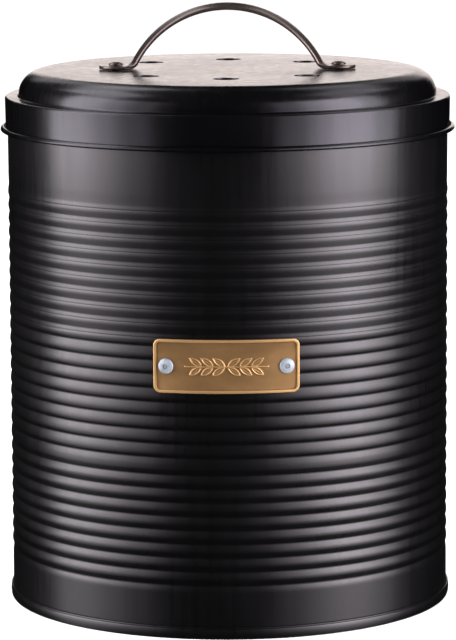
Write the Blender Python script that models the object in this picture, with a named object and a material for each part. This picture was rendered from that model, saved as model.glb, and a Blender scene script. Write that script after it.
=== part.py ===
"""Countertop food waste caddy.

A ribbed steel can stands on a recessed base. A plastic bucket with a wire bail hangs inside it by its
flange. The lid drops over the can's rim, has a strap handle and six vents, and holds a charcoal filter
under them.

Metres, +Z up. The origin is on the can's axis, on the surface that it stands on. The name plate faces -Y.
"""

import math

import bmesh
import bpy
from mathutils import Vector

# Sheet, gaps and fits
SHEET = 0.0005
SEAT_GAP = 0.0003
PIN_FIT = 0.00008
RIVET_FIT = 0.00015
CUT_OVERRUN = 0.004
MERGE_REACH = 0.00001

# Can. Three groups of ribs fill the wall between its plain bands.
WALL_RADIUS = 0.0850
WALL_TOP = 0.1934
RIM_CURL_RADIUS = 0.0015
RIB_CREST = 0.0002
RIB_GROOVE = 0.0003
RIBS_IN_GROUP = 9
UPPER_BAND = 0.0371
LOWER_BAND = 0.0200
GROUP_BANDS = (0.00477, 0.00647)

# Base, folded round the wall's lower end
SEAM_HEIGHT = 0.0045
SEAM_CORNER = 0.0006
PANEL_RECESS = 0.0030
PANEL_BEAD_INSET = 0.0250
PANEL_BEAD_WIDTH = 0.0060
PANEL_BEAD_RISE = 0.0008
PANEL_BEAD_SLOPE = 0.0012

# Name plate
PLATE_WIDTH = 0.0540
PLATE_HEIGHT = 0.0200
PLATE_MIDDLE = 0.1030
PLATE_THICKNESS = 0.0006
PLATE_RIM_WIDTH = 0.0013
PLATE_RIM_RISE = 0.0005
PLATE_CORNER = 0.0025
PLATE_RIVET_INSET = 0.0050

# Rivets
RIVET_SHANK_RADIUS = 0.0016
RIVET_HEAD_RADIUS = 0.0031
RIVET_HEAD_RISE = 0.0011
BLIND_TAIL_RADIUS = 0.0024
BLIND_TAIL_LENGTH = 0.0032
MANDREL_RADIUS = 0.0008
MANDREL_FIT = 0.0001
MANDREL_SINK = 0.0002
MANDREL_KNOB_RADIUS = 0.0014
MANDREL_KNOB_LENGTH = 0.0012
HANDLE_RIVET_TAIL_RADIUS = 0.0026
HANDLE_RIVET_TAIL_LENGTH = 0.0010

# Inner bucket
BUCKET_WALL = 0.0015
FLANGE_THICKNESS = 0.0012
FLANGE_INSET = 0.0007
BUCKET_RIM_CLEARANCE = 0.0009
SHELF_WIDTH = 0.0051
BUCKET_TAPER = 0.0055
BUCKET_CORNER = 0.0060
BUCKET_CLEARANCE = 0.0055
BUCKET_FOOT_INSET = 0.0110
BUCKET_FOOT_WIDTH = 0.0030
BUCKET_FOOT_DEPTH = 0.0015

# Bail, folded on the bucket's shelf
BAIL_WIRE_RADIUS = 0.0015
BAIL_BEND = 0.0025
BAIL_END_MARGIN = 0.0002
GRIP_WALL = 0.00095
GRIP_HALF_LENGTH = 0.0240
GRIP_MARGIN = 0.00085
EAR_WALL = 0.00242
EAR_LENGTH = 0.0030
EAR_MARGIN = 0.00015

# Lid
SKIRT_FIT = 0.00025
SKIRT_DRAFT = 0.0002
SKIRT_DROP = 0.0124
LID_BEAD_RADIUS = 0.00125
LEDGE_CORNER = 0.0009
CROWN_STEP = 0.0044
CROWN_HEIGHT = 0.0096
CROWN_SHOULDER = 0.0092
CROWN_FILLET = 0.0008
VENT_RADIUS = 0.0048
VENT_CIRCLE_RADIUS = 0.0430

# Handle. Its rivets stand on the vents' circle, and the strap starts to bend just inside them.
HANDLE_RISE = 0.0260
FOOT_START = 0.0030
FOOT_BEND = 0.0045
STRAP_THICKNESS = 0.0012
STRAP_WIDTH = 0.0125
STRAP_CROWN = 0.0016
TAB_WIDTH = 0.0148
TAB_REACH = 0.0065

# Filter, under the lid and wider than the vents' circle
HOLDER_MARGIN = 0.0130
HOLDER_WALL = 0.0015
HOLDER_DEPTH = 0.0082
HOLDER_BAR_WIDTH = 0.0120
HOLDER_BAR_THICKNESS = 0.0015
PAD_THICKNESS = 0.0036
PAD_EDGE = 0.0006
COVER_THICKNESS = 0.0012
COVER_COLLAR_HEIGHT = 0.0016
COVER_TAB_RADIUS = 0.0050
GRILLE_BAR = 0.0035
GRILLE_SLOT = 0.0060
GRILLE_MARGIN = 0.0047

# Facet counts
BODY_FACETS = 32
PART_FACETS = 24
RIVET_FACETS = 12
HOLE_FACETS = 12
PLATE_FACETS = 10
BAIL_STEPS = 28
GRIP_STEPS = 8

# Half the width of a groove, as a share of the ribs' pitch. The middle group has broad bands, the others
# round ribs.
groove_shares = (0.38, 0.24, 0.38)

# Where the vents stand on their circle, as shares of a turn. The handle's rivets take the two places
# between.
vent_shares = (1 / 8, 2 / 8, 3 / 8, 5 / 8, 6 / 8, 7 / 8)

# The blunt end of the handle's tabs, as a share of their width
tab_tip_share = 1 / 8

# Colours
BLACK_PAINT = (0.016, 0.016, 0.018)
BRASS = (0.55, 0.38, 0.17)
GUN_METAL = (0.10, 0.09, 0.085)
PALE_STEEL = (0.62, 0.66, 0.72)
GREY_PLASTIC = (0.20, 0.21, 0.21)
ZINC = (0.50, 0.51, 0.52)
CHARCOAL = (0.03, 0.03, 0.03)


def look(name, colour, metallic, roughness):
    """A material with the part's colour."""
    material = bpy.data.materials.new(name)
    material.use_nodes = True
    shader = material.node_tree.nodes["Principled BSDF"]
    shader.inputs["Base Color"].default_value = (*colour, 1)
    shader.inputs["Metallic"].default_value = metallic
    shader.inputs["Roughness"].default_value = roughness
    material.diffuse_color = (*colour, 1)
    return material


def add_object(name, bm, material, parent=None, crease_degrees=35):
    """Makes an object of a finished bmesh. Edges that turn more than the crease angle are sharp."""
    bmesh.ops.recalc_face_normals(bm, faces=bm.faces)
    mesh = bpy.data.meshes.new(name)
    bm.to_mesh(mesh)
    bm.free()
    mesh.shade_smooth()
    mesh.set_sharp_from_angle(angle=math.radians(crease_degrees))
    obj = bpy.data.objects.new(name, mesh)
    if material:
        mesh.materials.append(material)
    bpy.context.scene.collection.objects.link(obj)
    obj.parent = parent
    return obj


def add_cutter(name, bm):
    """A shape that only cuts others."""
    obj = add_object(name, bm, None)
    obj.hide_render = True
    obj.display_type = "WIRE"
    return obj


def combine(obj, other, operation):
    """Cuts, joins or intersects an object with another one."""
    modifier = obj.modifiers.new(other.name, "BOOLEAN")
    modifier.operation = operation
    modifier.solver = "EXACT"
    modifier.object = other


def spin(bm, geometry, angle, steps, closed):
    """Turns geometry about Z."""
    centre, axis = (0, 0, 0), (0, 0, 1)
    bmesh.ops.spin(bm, geom=geometry, cent=centre, axis=axis, angle=angle, steps=steps, use_merge=closed)


def turned(outline, facets, bm=None):
    """Turns an outline of (radius, height) points about Z. It is closed unless it starts on the axis."""
    bm = bm or bmesh.new()
    points = [bm.verts.new((radius, 0, height)) for radius, height in outline]
    edges = [bm.edges.new(pair) for pair in zip(points, points[1:])]
    if outline[0][0] > 0:
        edges.append(bm.edges.new((points[-1], points[0])))
    spin(bm, points + edges, math.tau, facets, True)
    bmesh.ops.remove_doubles(bm, verts=bm.verts, dist=MERGE_REACH)
    return bm


def rod(start, end, radius, facets, bm=None):
    """A cylinder between two points."""
    bm = bm or bmesh.new()
    start, end = Vector(start), Vector(end)
    along = end - start
    turn = along.to_track_quat("Z", "Y").to_matrix().to_4x4()
    turn.translation = (start + end) / 2
    bmesh.ops.create_cone(
        bm, cap_ends=True, segments=facets, radius1=radius, radius2=radius, depth=along.length, matrix=turn
    )
    return bm


def arc(centre, radius, start_degrees, end_degrees, steps):
    """Points of a circle, or of an ellipse where the radius is a pair, in the plane of the outline."""
    wide, high = radius if isinstance(radius, tuple) else (radius, radius)
    points = []
    for i in range(steps + 1):
        angle = math.radians(start_degrees + (end_degrees - start_degrees) * i / steps)
        points.append((centre[0] + wide * math.cos(angle), centre[1] + high * math.sin(angle)))
    return points


def prism(outline, low_y, high_y):
    """An outline in the X-Z plane, extruded along Y."""
    bm = bmesh.new()
    face = bm.faces.new([bm.verts.new((x, low_y, z)) for x, z in outline])
    far_side = bmesh.ops.extrude_face_region(bm, geom=[face])["geom"]
    far_points = [v for v in far_side if isinstance(v, bmesh.types.BMVert)]
    bmesh.ops.translate(bm, vec=(0, high_y - low_y, 0), verts=far_points)
    return bm


def box(low, high, bm=None):
    """A box between two corners."""
    bm = bm or bmesh.new()
    made = bmesh.ops.create_cube(bm, size=1)["verts"]
    size = [b - a for a, b in zip(low, high)]
    middle = [(a + b) / 2 for a, b in zip(low, high)]
    bmesh.ops.scale(bm, vec=size, verts=made)
    bmesh.ops.translate(bm, vec=middle, verts=made)
    return bm


def rounded_rectangle(width, height, corner, middle_height):
    """Outline in the X-Z plane."""
    right, top = width / 2 - corner, height / 2 - corner
    points = []
    for quarter, (x, z) in enumerate(((right, top), (-right, top), (-right, -top), (right, -top))):
        points += arc((x, middle_height + z), corner, 90 * quarter, 90 * quarter + 90, 4)
    return points


# The ribs' pitch, from what the plain bands leave of the wall
ribbed_height = WALL_TOP - UPPER_BAND - LOWER_BAND - sum(GROUP_BANDS)
rib_pitch = ribbed_height / ((len(GROUP_BANDS) + 1) * (RIBS_IN_GROUP - 1))

# Radii of what hangs in the can, and of what lies on the lid and under it
flange_radius = WALL_RADIUS - FLANGE_INSET
mouth_radius = WALL_RADIUS - 2 * RIM_CURL_RADIUS - BUCKET_RIM_CLEARANCE - BUCKET_WALL
shelf_radius = mouth_radius - SHELF_WIDTH
bucket_lower_radius = shelf_radius - BUCKET_TAPER
bucket_foot_radius = bucket_lower_radius - BUCKET_FOOT_INSET
panel_bead_radius = WALL_RADIUS - PANEL_BEAD_INSET
crown_radius = WALL_RADIUS - CROWN_STEP
holder_radius = VENT_CIRCLE_RADIUS + HOLDER_MARGIN
holder_bore = holder_radius - HOLDER_WALL
collar_radius = holder_bore - SEAT_GAP
collar_bore = collar_radius - HOLDER_WALL
grille_radius = collar_bore - GRILLE_MARGIN

# The bail, from its ears inwards
ear_radius = BAIL_WIRE_RADIUS + PIN_FIT + EAR_WALL
grip_radius = BAIL_WIRE_RADIUS + SEAT_GAP + GRIP_WALL
bail_half_width = mouth_radius - EAR_LENGTH - SEAT_GAP - BAIL_BEND
bail_reach = mouth_radius - GRIP_MARGIN - grip_radius

# Heights that follow from what is stacked on the can's rim
flange_low = WALL_TOP + SEAT_GAP
flange_top = flange_low + FLANGE_THICKNESS
ledge_under = flange_top + SEAT_GAP
ledge_top = ledge_under + SHEET
lid_top = ledge_top + CROWN_HEIGHT
lid_under = lid_top - SHEET
bail_height = flange_top - EAR_MARGIN - ear_radius
shelf_top = bail_height - grip_radius - SEAT_GAP
holder_top = lid_under - SEAT_GAP
cover_top = holder_top - HOLDER_DEPTH - SEAT_GAP
cover_low = cover_top - COVER_THICKNESS

# How far a flat facet of the body lies inside its corners
flat_share = math.cos(math.pi / BODY_FACETS)


def groove_heights():
    """Each groove's height with its group, from the top down."""
    heights = []
    height = WALL_TOP - UPPER_BAND
    for group, band in enumerate((*GROUP_BANDS, 0)):
        heights += [(height - rib_pitch * i, group) for i in range(RIBS_IN_GROUP)]
        height = heights[-1][0] - band
    return heights


def rib_outline():
    """Offsets from the plain wall, from the top down. Narrow grooves part the middle group's broad bands."""
    grooves = groove_heights()
    points = [(0, grooves[0][0] + rib_pitch)]
    for height, group in grooves:
        edge = rib_pitch * groove_shares[group]
        points += [(RIB_CREST, height + edge), (-RIB_GROOVE, height), (RIB_CREST, height - edge)]
    points.append((0, grooves[-1][0] - rib_pitch))
    return points


def make_can_wall(material):
    """The ribbed wall. Its top is rolled inwards, and its lower end stands in the base's folded edge.

    The inside runs straight past the grooves, so that the wall is a full sheet thick where it is thinnest.
    """
    low = SHEET + SEAT_GAP
    centre = (WALL_RADIUS - RIM_CURL_RADIUS, WALL_TOP - RIM_CURL_RADIUS)
    outer_curl = arc(centre, RIM_CURL_RADIUS, 240, 0, 6)
    inner_curl = arc(centre, RIM_CURL_RADIUS - SHEET, 0, 240, 4)
    ribs = rib_outline()
    outside = [(WALL_RADIUS + offset, height) for offset, height in ribs]
    inner_radius = WALL_RADIUS - RIB_GROOVE - SHEET
    inside = [
        (WALL_RADIUS - SHEET, low),
        (WALL_RADIUS - SHEET, ribs[-1][1] - rib_pitch),
        (inner_radius, ribs[-1][1]),
        (inner_radius, ribs[0][1]),
        (WALL_RADIUS - SHEET, ribs[0][1] + rib_pitch),
    ]
    profile = outer_curl + outside + [(WALL_RADIUS, low)] + inside + inner_curl
    wall = add_object("can_wall", turned(profile, BODY_FACETS), material, crease_degrees=15)
    holes = bmesh.new()
    for side in (-1, 1):
        direction = plate_direction(side)
        start = lifted(direction * (WALL_RADIUS - CUT_OVERRUN), PLATE_MIDDLE)
        end = lifted(direction * (WALL_RADIUS + CUT_OVERRUN), PLATE_MIDDLE)
        rod(start, end, RIVET_SHANK_RADIUS + RIVET_FIT, RIVET_FACETS, holes)
    combine(wall, add_cutter("wall_rivet_holes", holes), "DIFFERENCE")
    return wall


def lifted(point, height):
    """The same place in plan, at a height."""
    return Vector((point[0], point[1], height))


def plate_direction(side):
    """The way out of the wall at a plate rivet, left (-1) or right (1)."""
    angle = math.asin(side * (PLATE_WIDTH / 2 - PLATE_RIVET_INSET) / WALL_RADIUS)
    return Vector((math.sin(angle), -math.cos(angle), 0))


def make_base_pan(material):
    """The base: a recessed panel with a stiffening bead, its edge folded up round the wall's lower end."""
    fold_out = WALL_RADIUS + SEAT_GAP + SHEET
    fold_in = WALL_RADIUS + SEAT_GAP
    chuck_out = WALL_RADIUS - SHEET - SEAT_GAP
    chuck_in = chuck_out - SHEET
    lip = arc((fold_out - SHEET / 2, SEAM_HEIGHT - SHEET / 2), SHEET / 2, 180, 0, 2)
    outside = arc((fold_out - SEAM_CORNER, SEAM_CORNER), SEAM_CORNER, 0, -90, 2)
    inside = arc((chuck_in + SEAM_CORNER, SEAM_CORNER), SEAM_CORNER, 270, 180, 2)
    bead = [
        (panel_bead_radius + PANEL_BEAD_WIDTH / 2 + PANEL_BEAD_SLOPE, 0),
        (panel_bead_radius + PANEL_BEAD_WIDTH / 2, PANEL_BEAD_RISE),
        (panel_bead_radius - PANEL_BEAD_WIDTH / 2, PANEL_BEAD_RISE),
        (panel_bead_radius - PANEL_BEAD_WIDTH / 2 - PANEL_BEAD_SLOPE, 0),
    ]
    under = [(chuck_in, PANEL_RECESS)] + [(r, PANEL_RECESS + rise) for r, rise in bead]
    top = PANEL_RECESS + SHEET
    over = [(r, top + rise) for r, rise in reversed(bead)] + [(chuck_out, top)]
    channel = [(chuck_out, SHEET), (fold_in, SHEET)]
    rim = lip + outside + inside
    # The panel's middle is closed by two points on the axis, so the outline starts and ends there.
    outline = [(0, top)] + over + channel + rim + under + [(0, PANEL_RECESS)]
    return add_object("base_pan", turned(outline, BODY_FACETS), material)


def curved_slab(inner_radius, outer_radius, width, low, high):
    """A piece of a tube, centred on -Y, a little wider than the width given."""
    half_angle = math.asin(width / 2 / inner_radius) * (1 + 1 / PLATE_FACETS)
    bm = bmesh.new()
    corners = [(inner_radius, low), (outer_radius, low), (outer_radius, high), (inner_radius, high)]
    start = -math.pi / 2 - half_angle
    ring = [bm.verts.new((r * math.cos(start), r * math.sin(start), z)) for r, z in corners]
    face = bm.faces.new(ring)
    spin(bm, [face], 2 * half_angle, PLATE_FACETS, False)
    return bm


def make_name_plate(material):
    """A plate wrapped to the wall, with a raised rim and two rivet holes."""
    back = WALL_RADIUS + RIB_CREST + SEAT_GAP
    face = back + PLATE_THICKNESS
    front = face + PLATE_RIM_RISE
    low, high = PLATE_MIDDLE - PLATE_HEIGHT / 2, PLATE_MIDDLE + PLATE_HEIGHT / 2
    slab = curved_slab(back, front, PLATE_WIDTH, low - CUT_OVERRUN, high + CUT_OVERRUN)
    plate = add_object("name_plate", slab, material)
    outline = rounded_rectangle(PLATE_WIDTH, PLATE_HEIGHT, PLATE_CORNER, PLATE_MIDDLE)
    combine(plate, add_cutter("plate_outline", prism(outline, -front - CUT_OVERRUN, 0)), "INTERSECT")
    pocket = curved_slab(face, front + CUT_OVERRUN, PLATE_WIDTH, low - CUT_OVERRUN, high + CUT_OVERRUN)
    field = add_cutter("plate_field", pocket)
    width, height = PLATE_WIDTH - 2 * PLATE_RIM_WIDTH, PLATE_HEIGHT - 2 * PLATE_RIM_WIDTH
    inner = rounded_rectangle(width, height, PLATE_CORNER - PLATE_RIM_WIDTH, PLATE_MIDDLE)
    field_outline = add_cutter("plate_field_outline", prism(inner, -front - 2 * CUT_OVERRUN, 0))
    combine(field, field_outline, "INTERSECT")
    combine(plate, field, "DIFFERENCE")
    holes = bmesh.new()
    for side in (-1, 1):
        direction = plate_direction(side)
        start = lifted(direction * (back - CUT_OVERRUN), PLATE_MIDDLE)
        end = lifted(direction * (front + CUT_OVERRUN), PLATE_MIDDLE)
        rod(start, end, RIVET_SHANK_RADIUS + RIVET_FIT, RIVET_FACETS, holes)
    combine(plate, add_cutter("plate_rivet_holes", holes), "DIFFERENCE")
    return plate


def rivet_dome(inner_radius):
    """The domed head, from its middle or its bore out to its edge."""
    first = math.degrees(math.acos(inner_radius / RIVET_HEAD_RADIUS))
    return arc((0, 0), (RIVET_HEAD_RADIUS, RIVET_HEAD_RISE), first, 0, 3)


def make_plate_rivets(material, mandrel_material):
    """Blind rivets: a domed head, a shank through plate and wall, and a swollen tail in the can."""
    seat = WALL_RADIUS + RIB_CREST + SEAT_GAP + PLATE_THICKNESS + SEAT_GAP
    inner_face = (WALL_RADIUS - RIB_GROOVE - SHEET) * flat_share - SEAT_GAP
    grip = seat - inner_face
    tail_end = -grip - BLIND_TAIL_LENGTH
    bore = MANDREL_RADIUS + MANDREL_FIT
    swell = (BLIND_TAIL_RADIUS - RIVET_SHANK_RADIUS) / 2
    body = rivet_dome(bore) + [
        (RIVET_SHANK_RADIUS, 0),
        (RIVET_SHANK_RADIUS, -grip),
        (BLIND_TAIL_RADIUS, -grip - swell),
        (BLIND_TAIL_RADIUS, -grip - BLIND_TAIL_LENGTH / 2),
        (RIVET_SHANK_RADIUS, tail_end),
        (bore, tail_end),
    ]
    knob_top = tail_end - SEAT_GAP
    mandrel = [
        (0, RIVET_HEAD_RISE - MANDREL_SINK),
        (MANDREL_RADIUS, RIVET_HEAD_RISE - MANDREL_SINK),
        (MANDREL_RADIUS, knob_top),
        (MANDREL_KNOB_RADIUS, knob_top),
        (MANDREL_KNOB_RADIUS, knob_top - MANDREL_KNOB_LENGTH / 2),
        (MANDREL_RADIUS, knob_top - MANDREL_KNOB_LENGTH),
        (0, knob_top - MANDREL_KNOB_LENGTH),
    ]
    for side, word in ((-1, "left"), (1, "right")):
        direction = plate_direction(side)
        rivet = add_object(f"plate_rivet_{word}", turned(body, RIVET_FACETS), material)
        rivet.location = lifted(direction * seat, PLATE_MIDDLE)
        rivet.rotation_mode = "QUATERNION"
        rivet.rotation_quaternion = direction.to_track_quat("Z", "Y")
        add_object(f"plate_rivet_{word}_mandrel", turned(mandrel, RIVET_FACETS), mandrel_material, rivet)


def make_liner_bucket(material):
    """The inner bucket: a flange on the can's rim, a shelf for the bail, a tapered wall and a foot."""
    outer_mouth = mouth_radius + BUCKET_WALL
    bottom = PANEL_RECESS + SHEET + BUCKET_CLEARANCE
    floor = bottom + BUCKET_FOOT_DEPTH
    lower_out = bucket_lower_radius + BUCKET_WALL
    outside = [
        (mouth_radius, flange_top),
        (flange_radius, flange_top),
        (flange_radius, flange_low),
        (outer_mouth, flange_low),
        (outer_mouth, shelf_top - BUCKET_WALL),
        (shelf_radius + BUCKET_WALL, shelf_top - BUCKET_WALL - BUCKET_WALL),
    ]
    outside += arc((lower_out - BUCKET_CORNER, floor + BUCKET_CORNER), BUCKET_CORNER, 0, -90, 2)
    foot = [
        (bucket_foot_radius + BUCKET_FOOT_WIDTH / 2, floor),
        (bucket_foot_radius + BUCKET_FOOT_WIDTH / 2, bottom),
        (bucket_foot_radius - BUCKET_FOOT_WIDTH / 2, bottom),
        (bucket_foot_radius - BUCKET_FOOT_WIDTH / 2, floor),
        (0, floor),
    ]
    inner_corner = BUCKET_CORNER - BUCKET_WALL
    inside = [(0, floor + BUCKET_WALL)]
    inside += arc((bucket_lower_radius - inner_corner, floor + BUCKET_CORNER), inner_corner, -90, 0, 2)
    inside += [(shelf_radius, shelf_top), (mouth_radius, shelf_top)]
    # The floor's middle is on the axis, so the outline starts with the inside and ends with the underside.
    bucket = add_object("liner_bucket", turned(inside + outside + foot, BODY_FACETS), material)
    ears = bmesh.new()
    holes = bmesh.new()
    for side in (-1, 1):
        face = side * (mouth_radius - EAR_LENGTH)
        inside_wall = side * (mouth_radius + BUCKET_WALL / 2)
        rod((face, 0, bail_height), (inside_wall, 0, bail_height), ear_radius, HOLE_FACETS, ears)
        start = face - side * CUT_OVERRUN
        end = inside_wall + side * CUT_OVERRUN
        rod((start, 0, bail_height), (end, 0, bail_height), BAIL_WIRE_RADIUS + PIN_FIT, HOLE_FACETS, holes)
    combine(bucket, add_cutter("bail_ears", ears), "UNION")
    combine(bucket, add_cutter("bail_holes", holes), "DIFFERENCE")
    return bucket


def bail_side(degrees):
    """A point of the bail's bow, from the pivots' line (0 or 180 degrees) to its middle (90 degrees)."""
    angle = math.radians(degrees)
    return (bail_half_width * math.cos(angle), BAIL_BEND + (bail_reach - BAIL_BEND) * math.sin(angle), 0)


def tube(name, points, radius, resolution):
    """A round wire along points, as a bmesh."""
    curve = bpy.data.curves.new(name, "CURVE")
    curve.dimensions = "3D"
    curve.bevel_depth = radius
    curve.bevel_resolution = resolution
    curve.use_fill_caps = True
    spline = curve.splines.new("POLY")
    spline.points.add(len(points) - 1)
    for place, point in zip(spline.points, points):
        place.co = (*point, 1)
    guide = bpy.data.objects.new(name, curve)
    bpy.context.scene.collection.objects.link(guide)
    bm = bmesh.new()
    bm.from_mesh(guide.evaluated_get(bpy.context.evaluated_depsgraph_get()).to_mesh())
    bpy.data.objects.remove(guide)
    bpy.data.curves.remove(curve)
    bmesh.ops.remove_doubles(bm, verts=bm.verts, dist=MERGE_REACH)
    return bm


def grip_path(half_length):
    """Points of the bow that reach half_length to each side of its middle."""
    covered = math.degrees(math.asin(half_length / bail_half_width))
    return [bail_side(90 + covered * (2 * i / GRIP_STEPS - 1)) for i in range(GRIP_STEPS + 1)]


def make_bail(wire_material, grip_material):
    """A wire bow with a moulded grip, its ends hooked into the bucket's ears. It lies folded to the back."""
    pivot = bpy.data.objects.new("bail_pivot", None)
    bpy.context.scene.collection.objects.link(pivot)
    pivot.location = (0, 0, bail_height)
    end = mouth_radius + BUCKET_WALL - BAIL_END_MARGIN
    corner = [(x, y, 0) for x, y in arc((bail_half_width + BAIL_BEND, BAIL_BEND), BAIL_BEND, 270, 180, 4)]
    half = [(end, 0, 0)] + corner[:-1]
    bow = [bail_side(180 * i / BAIL_STEPS) for i in range(BAIL_STEPS + 1)]
    points = half + bow + [(-x, y, z) for x, y, z in reversed(half)]
    wire = add_object("bucket_bail", tube("bail_path", points, BAIL_WIRE_RADIUS, 1), wire_material, pivot)
    grip_points = grip_path(GRIP_HALF_LENGTH)
    grip = add_object("bail_grip", tube("grip_path", grip_points, grip_radius, 2), grip_material, pivot)
    bore_points = grip_path(GRIP_HALF_LENGTH + CUT_OVERRUN)
    bore = add_cutter("grip_bore", tube("bore_path", bore_points, BAIL_WIRE_RADIUS + SEAT_GAP, 2))
    bore.parent = pivot
    combine(grip, bore, "DIFFERENCE")
    return wire, grip


def make_lid_shell(material):
    """The lid: a rolled bead, a skirt round the wall, a ledge over the flange and a vented crown."""
    skirt_in = WALL_RADIUS + SKIRT_FIT
    skirt_out = skirt_in + SHEET
    skirt_low = ledge_top - SKIRT_DROP
    upper_out = skirt_out + SKIRT_DRAFT
    curl = LID_BEAD_RADIUS - SHEET
    bead_centre = (skirt_out + curl, skirt_low)
    top = [(0, lid_top)]
    shoulder_centre = (crown_radius - CROWN_SHOULDER, ledge_top + CROWN_FILLET)
    shoulder = (CROWN_SHOULDER, CROWN_HEIGHT - CROWN_FILLET)
    foot_centre = (crown_radius + CROWN_FILLET, ledge_top + CROWN_FILLET)
    top += arc(shoulder_centre, shoulder, 90, 0, 4)
    top += arc(foot_centre, CROWN_FILLET, 180, 270, 2)[1:]
    top += arc((upper_out - LEDGE_CORNER, ledge_top - LEDGE_CORNER), LEDGE_CORNER, 90, 0, 2)
    bead = arc(bead_centre, curl, 180, 450, 3) + arc(bead_centre, LID_BEAD_RADIUS, 450, 180, 6)
    inner_corner = LEDGE_CORNER - SHEET
    under = arc((upper_out - LEDGE_CORNER, ledge_top - LEDGE_CORNER), inner_corner, 0, 90, 1)
    under += arc(foot_centre, CROWN_FILLET + SHEET, 270, 180, 1)
    under += arc(shoulder_centre, (shoulder[0] - SHEET, shoulder[1] - SHEET), 0, 90, 4)[1:]
    under += [(0, lid_under)]
    lid = add_object("lid_shell", turned(top + bead + under, BODY_FACETS), material)
    holes = bmesh.new()
    low, high = lid_under - CUT_OVERRUN, lid_top + CUT_OVERRUN
    for share in vent_shares:
        x = VENT_CIRCLE_RADIUS * math.cos(math.tau * share)
        y = VENT_CIRCLE_RADIUS * math.sin(math.tau * share)
        rod((x, y, low), (x, y, high), VENT_RADIUS, HOLE_FACETS, holes)
    for side in (-1, 1):
        x = side * VENT_CIRCLE_RADIUS
        rod((x, 0, low), (x, 0, high), RIVET_SHANK_RADIUS + RIVET_FIT, RIVET_FACETS, holes)
    combine(lid, add_cutter("lid_holes", holes), "DIFFERENCE")
    return lid


def handle_stations():
    """The strap's middle line from its top to the end of the right tab.

    Each station has its place (x, z), its slope from level in radians, its width and the rise of its crown.
    The arch's radius is the one that lets the arch, the bend and the flat tab run into each other smoothly.
    """
    tab_height = lid_top + SEAT_GAP + STRAP_THICKNESS / 2
    bend_x = VENT_CIRCLE_RADIUS - FOOT_START
    bend_height = tab_height + FOOT_BEND
    top = lid_top + HANDLE_RISE - STRAP_THICKNESS / 2
    drop = top - bend_height
    arch = (bend_x**2 + drop**2 - FOOT_BEND**2) / (2 * (drop + FOOT_BEND))
    centre = top - arch
    steepest = math.atan2(bend_x, bend_height - centre)
    stations = []
    arch_steps, bend_steps, end_steps = 8, 3, 3
    for i in range(arch_steps + 1):
        slope = steepest * i / arch_steps
        x, z = arch * math.sin(slope), centre + arch * math.cos(slope)
        stations.append((x, z, slope, STRAP_WIDTH, STRAP_CROWN))
    for i in range(1, bend_steps + 1):
        share = i / bend_steps
        slope = steepest * (1 - share)
        x = bend_x - FOOT_BEND * math.sin(slope)
        z = bend_height - FOOT_BEND * math.cos(slope)
        width = STRAP_WIDTH + (TAB_WIDTH - STRAP_WIDTH) * share
        stations.append((x, z, slope, width, STRAP_CROWN * (1 - share)))
    half = TAB_WIDTH / 2
    tab_end = VENT_CIRCLE_RADIUS + TAB_REACH
    for i in range(end_steps + 1):
        angle = math.pi / 2 * i / (end_steps + 1)
        x = tab_end - half + half * math.sin(angle)
        stations.append((x, tab_height, 0, TAB_WIDTH * math.cos(angle), 0))
    stations.append((tab_end, tab_height, 0, TAB_WIDTH * tab_tip_share, 0))
    return stations


def make_lid_handle(material):
    """A strap arch, crowned across its width, whose feet bend out into flat rounded tabs."""
    across_shares = (-1, -0.8, -0.4, 0.4, 0.8, 1)
    right = handle_stations()
    stations = [(-x, z, -slope, width, crown) for x, z, slope, width, crown in reversed(right[1:])] + right
    bm = bmesh.new()
    rings = []
    for x, z, slope, width, crown in stations:
        outward = Vector((math.sin(slope), 0, math.cos(slope)))
        ring = []
        for face in (1, -1):
            for share in across_shares[::face]:
                lift = face * STRAP_THICKNESS / 2 - crown * share**2
                place = Vector((x, share * width / 2, z)) + outward * lift
                ring.append(bm.verts.new(place))
        rings.append(ring)
    for first, second in zip(rings, rings[1:]):
        for i in range(len(first)):
            j = (i + 1) % len(first)
            bm.faces.new((first[i], first[j], second[j], second[i]))
    bm.faces.new(rings[0])
    bm.faces.new(rings[-1])
    handle = add_object("lid_handle", bm, material)
    holes = bmesh.new()
    low, high = lid_top - CUT_OVERRUN, lid_top + CUT_OVERRUN
    for side in (-1, 1):
        x = side * VENT_CIRCLE_RADIUS
        rod((x, 0, low), (x, 0, high), RIVET_SHANK_RADIUS + RIVET_FIT, RIVET_FACETS, holes)
    combine(handle, add_cutter("handle_rivet_holes", holes), "DIFFERENCE")
    return handle


def make_handle_rivets(material):
    """Solid rivets through the handle's tabs, the lid and the filter holder's bar."""
    seat = lid_top + SEAT_GAP + STRAP_THICKNESS + SEAT_GAP
    bar_under = holder_top - HOLDER_BAR_THICKNESS - SEAT_GAP
    grip = seat - bar_under
    tail_bevel = HANDLE_RIVET_TAIL_LENGTH / 2
    outline = rivet_dome(0) + [
        (RIVET_SHANK_RADIUS, 0),
        (RIVET_SHANK_RADIUS, -grip),
        (HANDLE_RIVET_TAIL_RADIUS, -grip),
        (HANDLE_RIVET_TAIL_RADIUS, -grip - tail_bevel),
        (RIVET_SHANK_RADIUS, -grip - HANDLE_RIVET_TAIL_LENGTH),
        (0, -grip - HANDLE_RIVET_TAIL_LENGTH),
    ]
    for side, word in ((-1, "left"), (1, "right")):
        rivet = add_object(f"handle_rivet_{word}", turned(outline, RIVET_FACETS), material)
        rivet.location = (side * VENT_CIRCLE_RADIUS, 0, seat)


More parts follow.
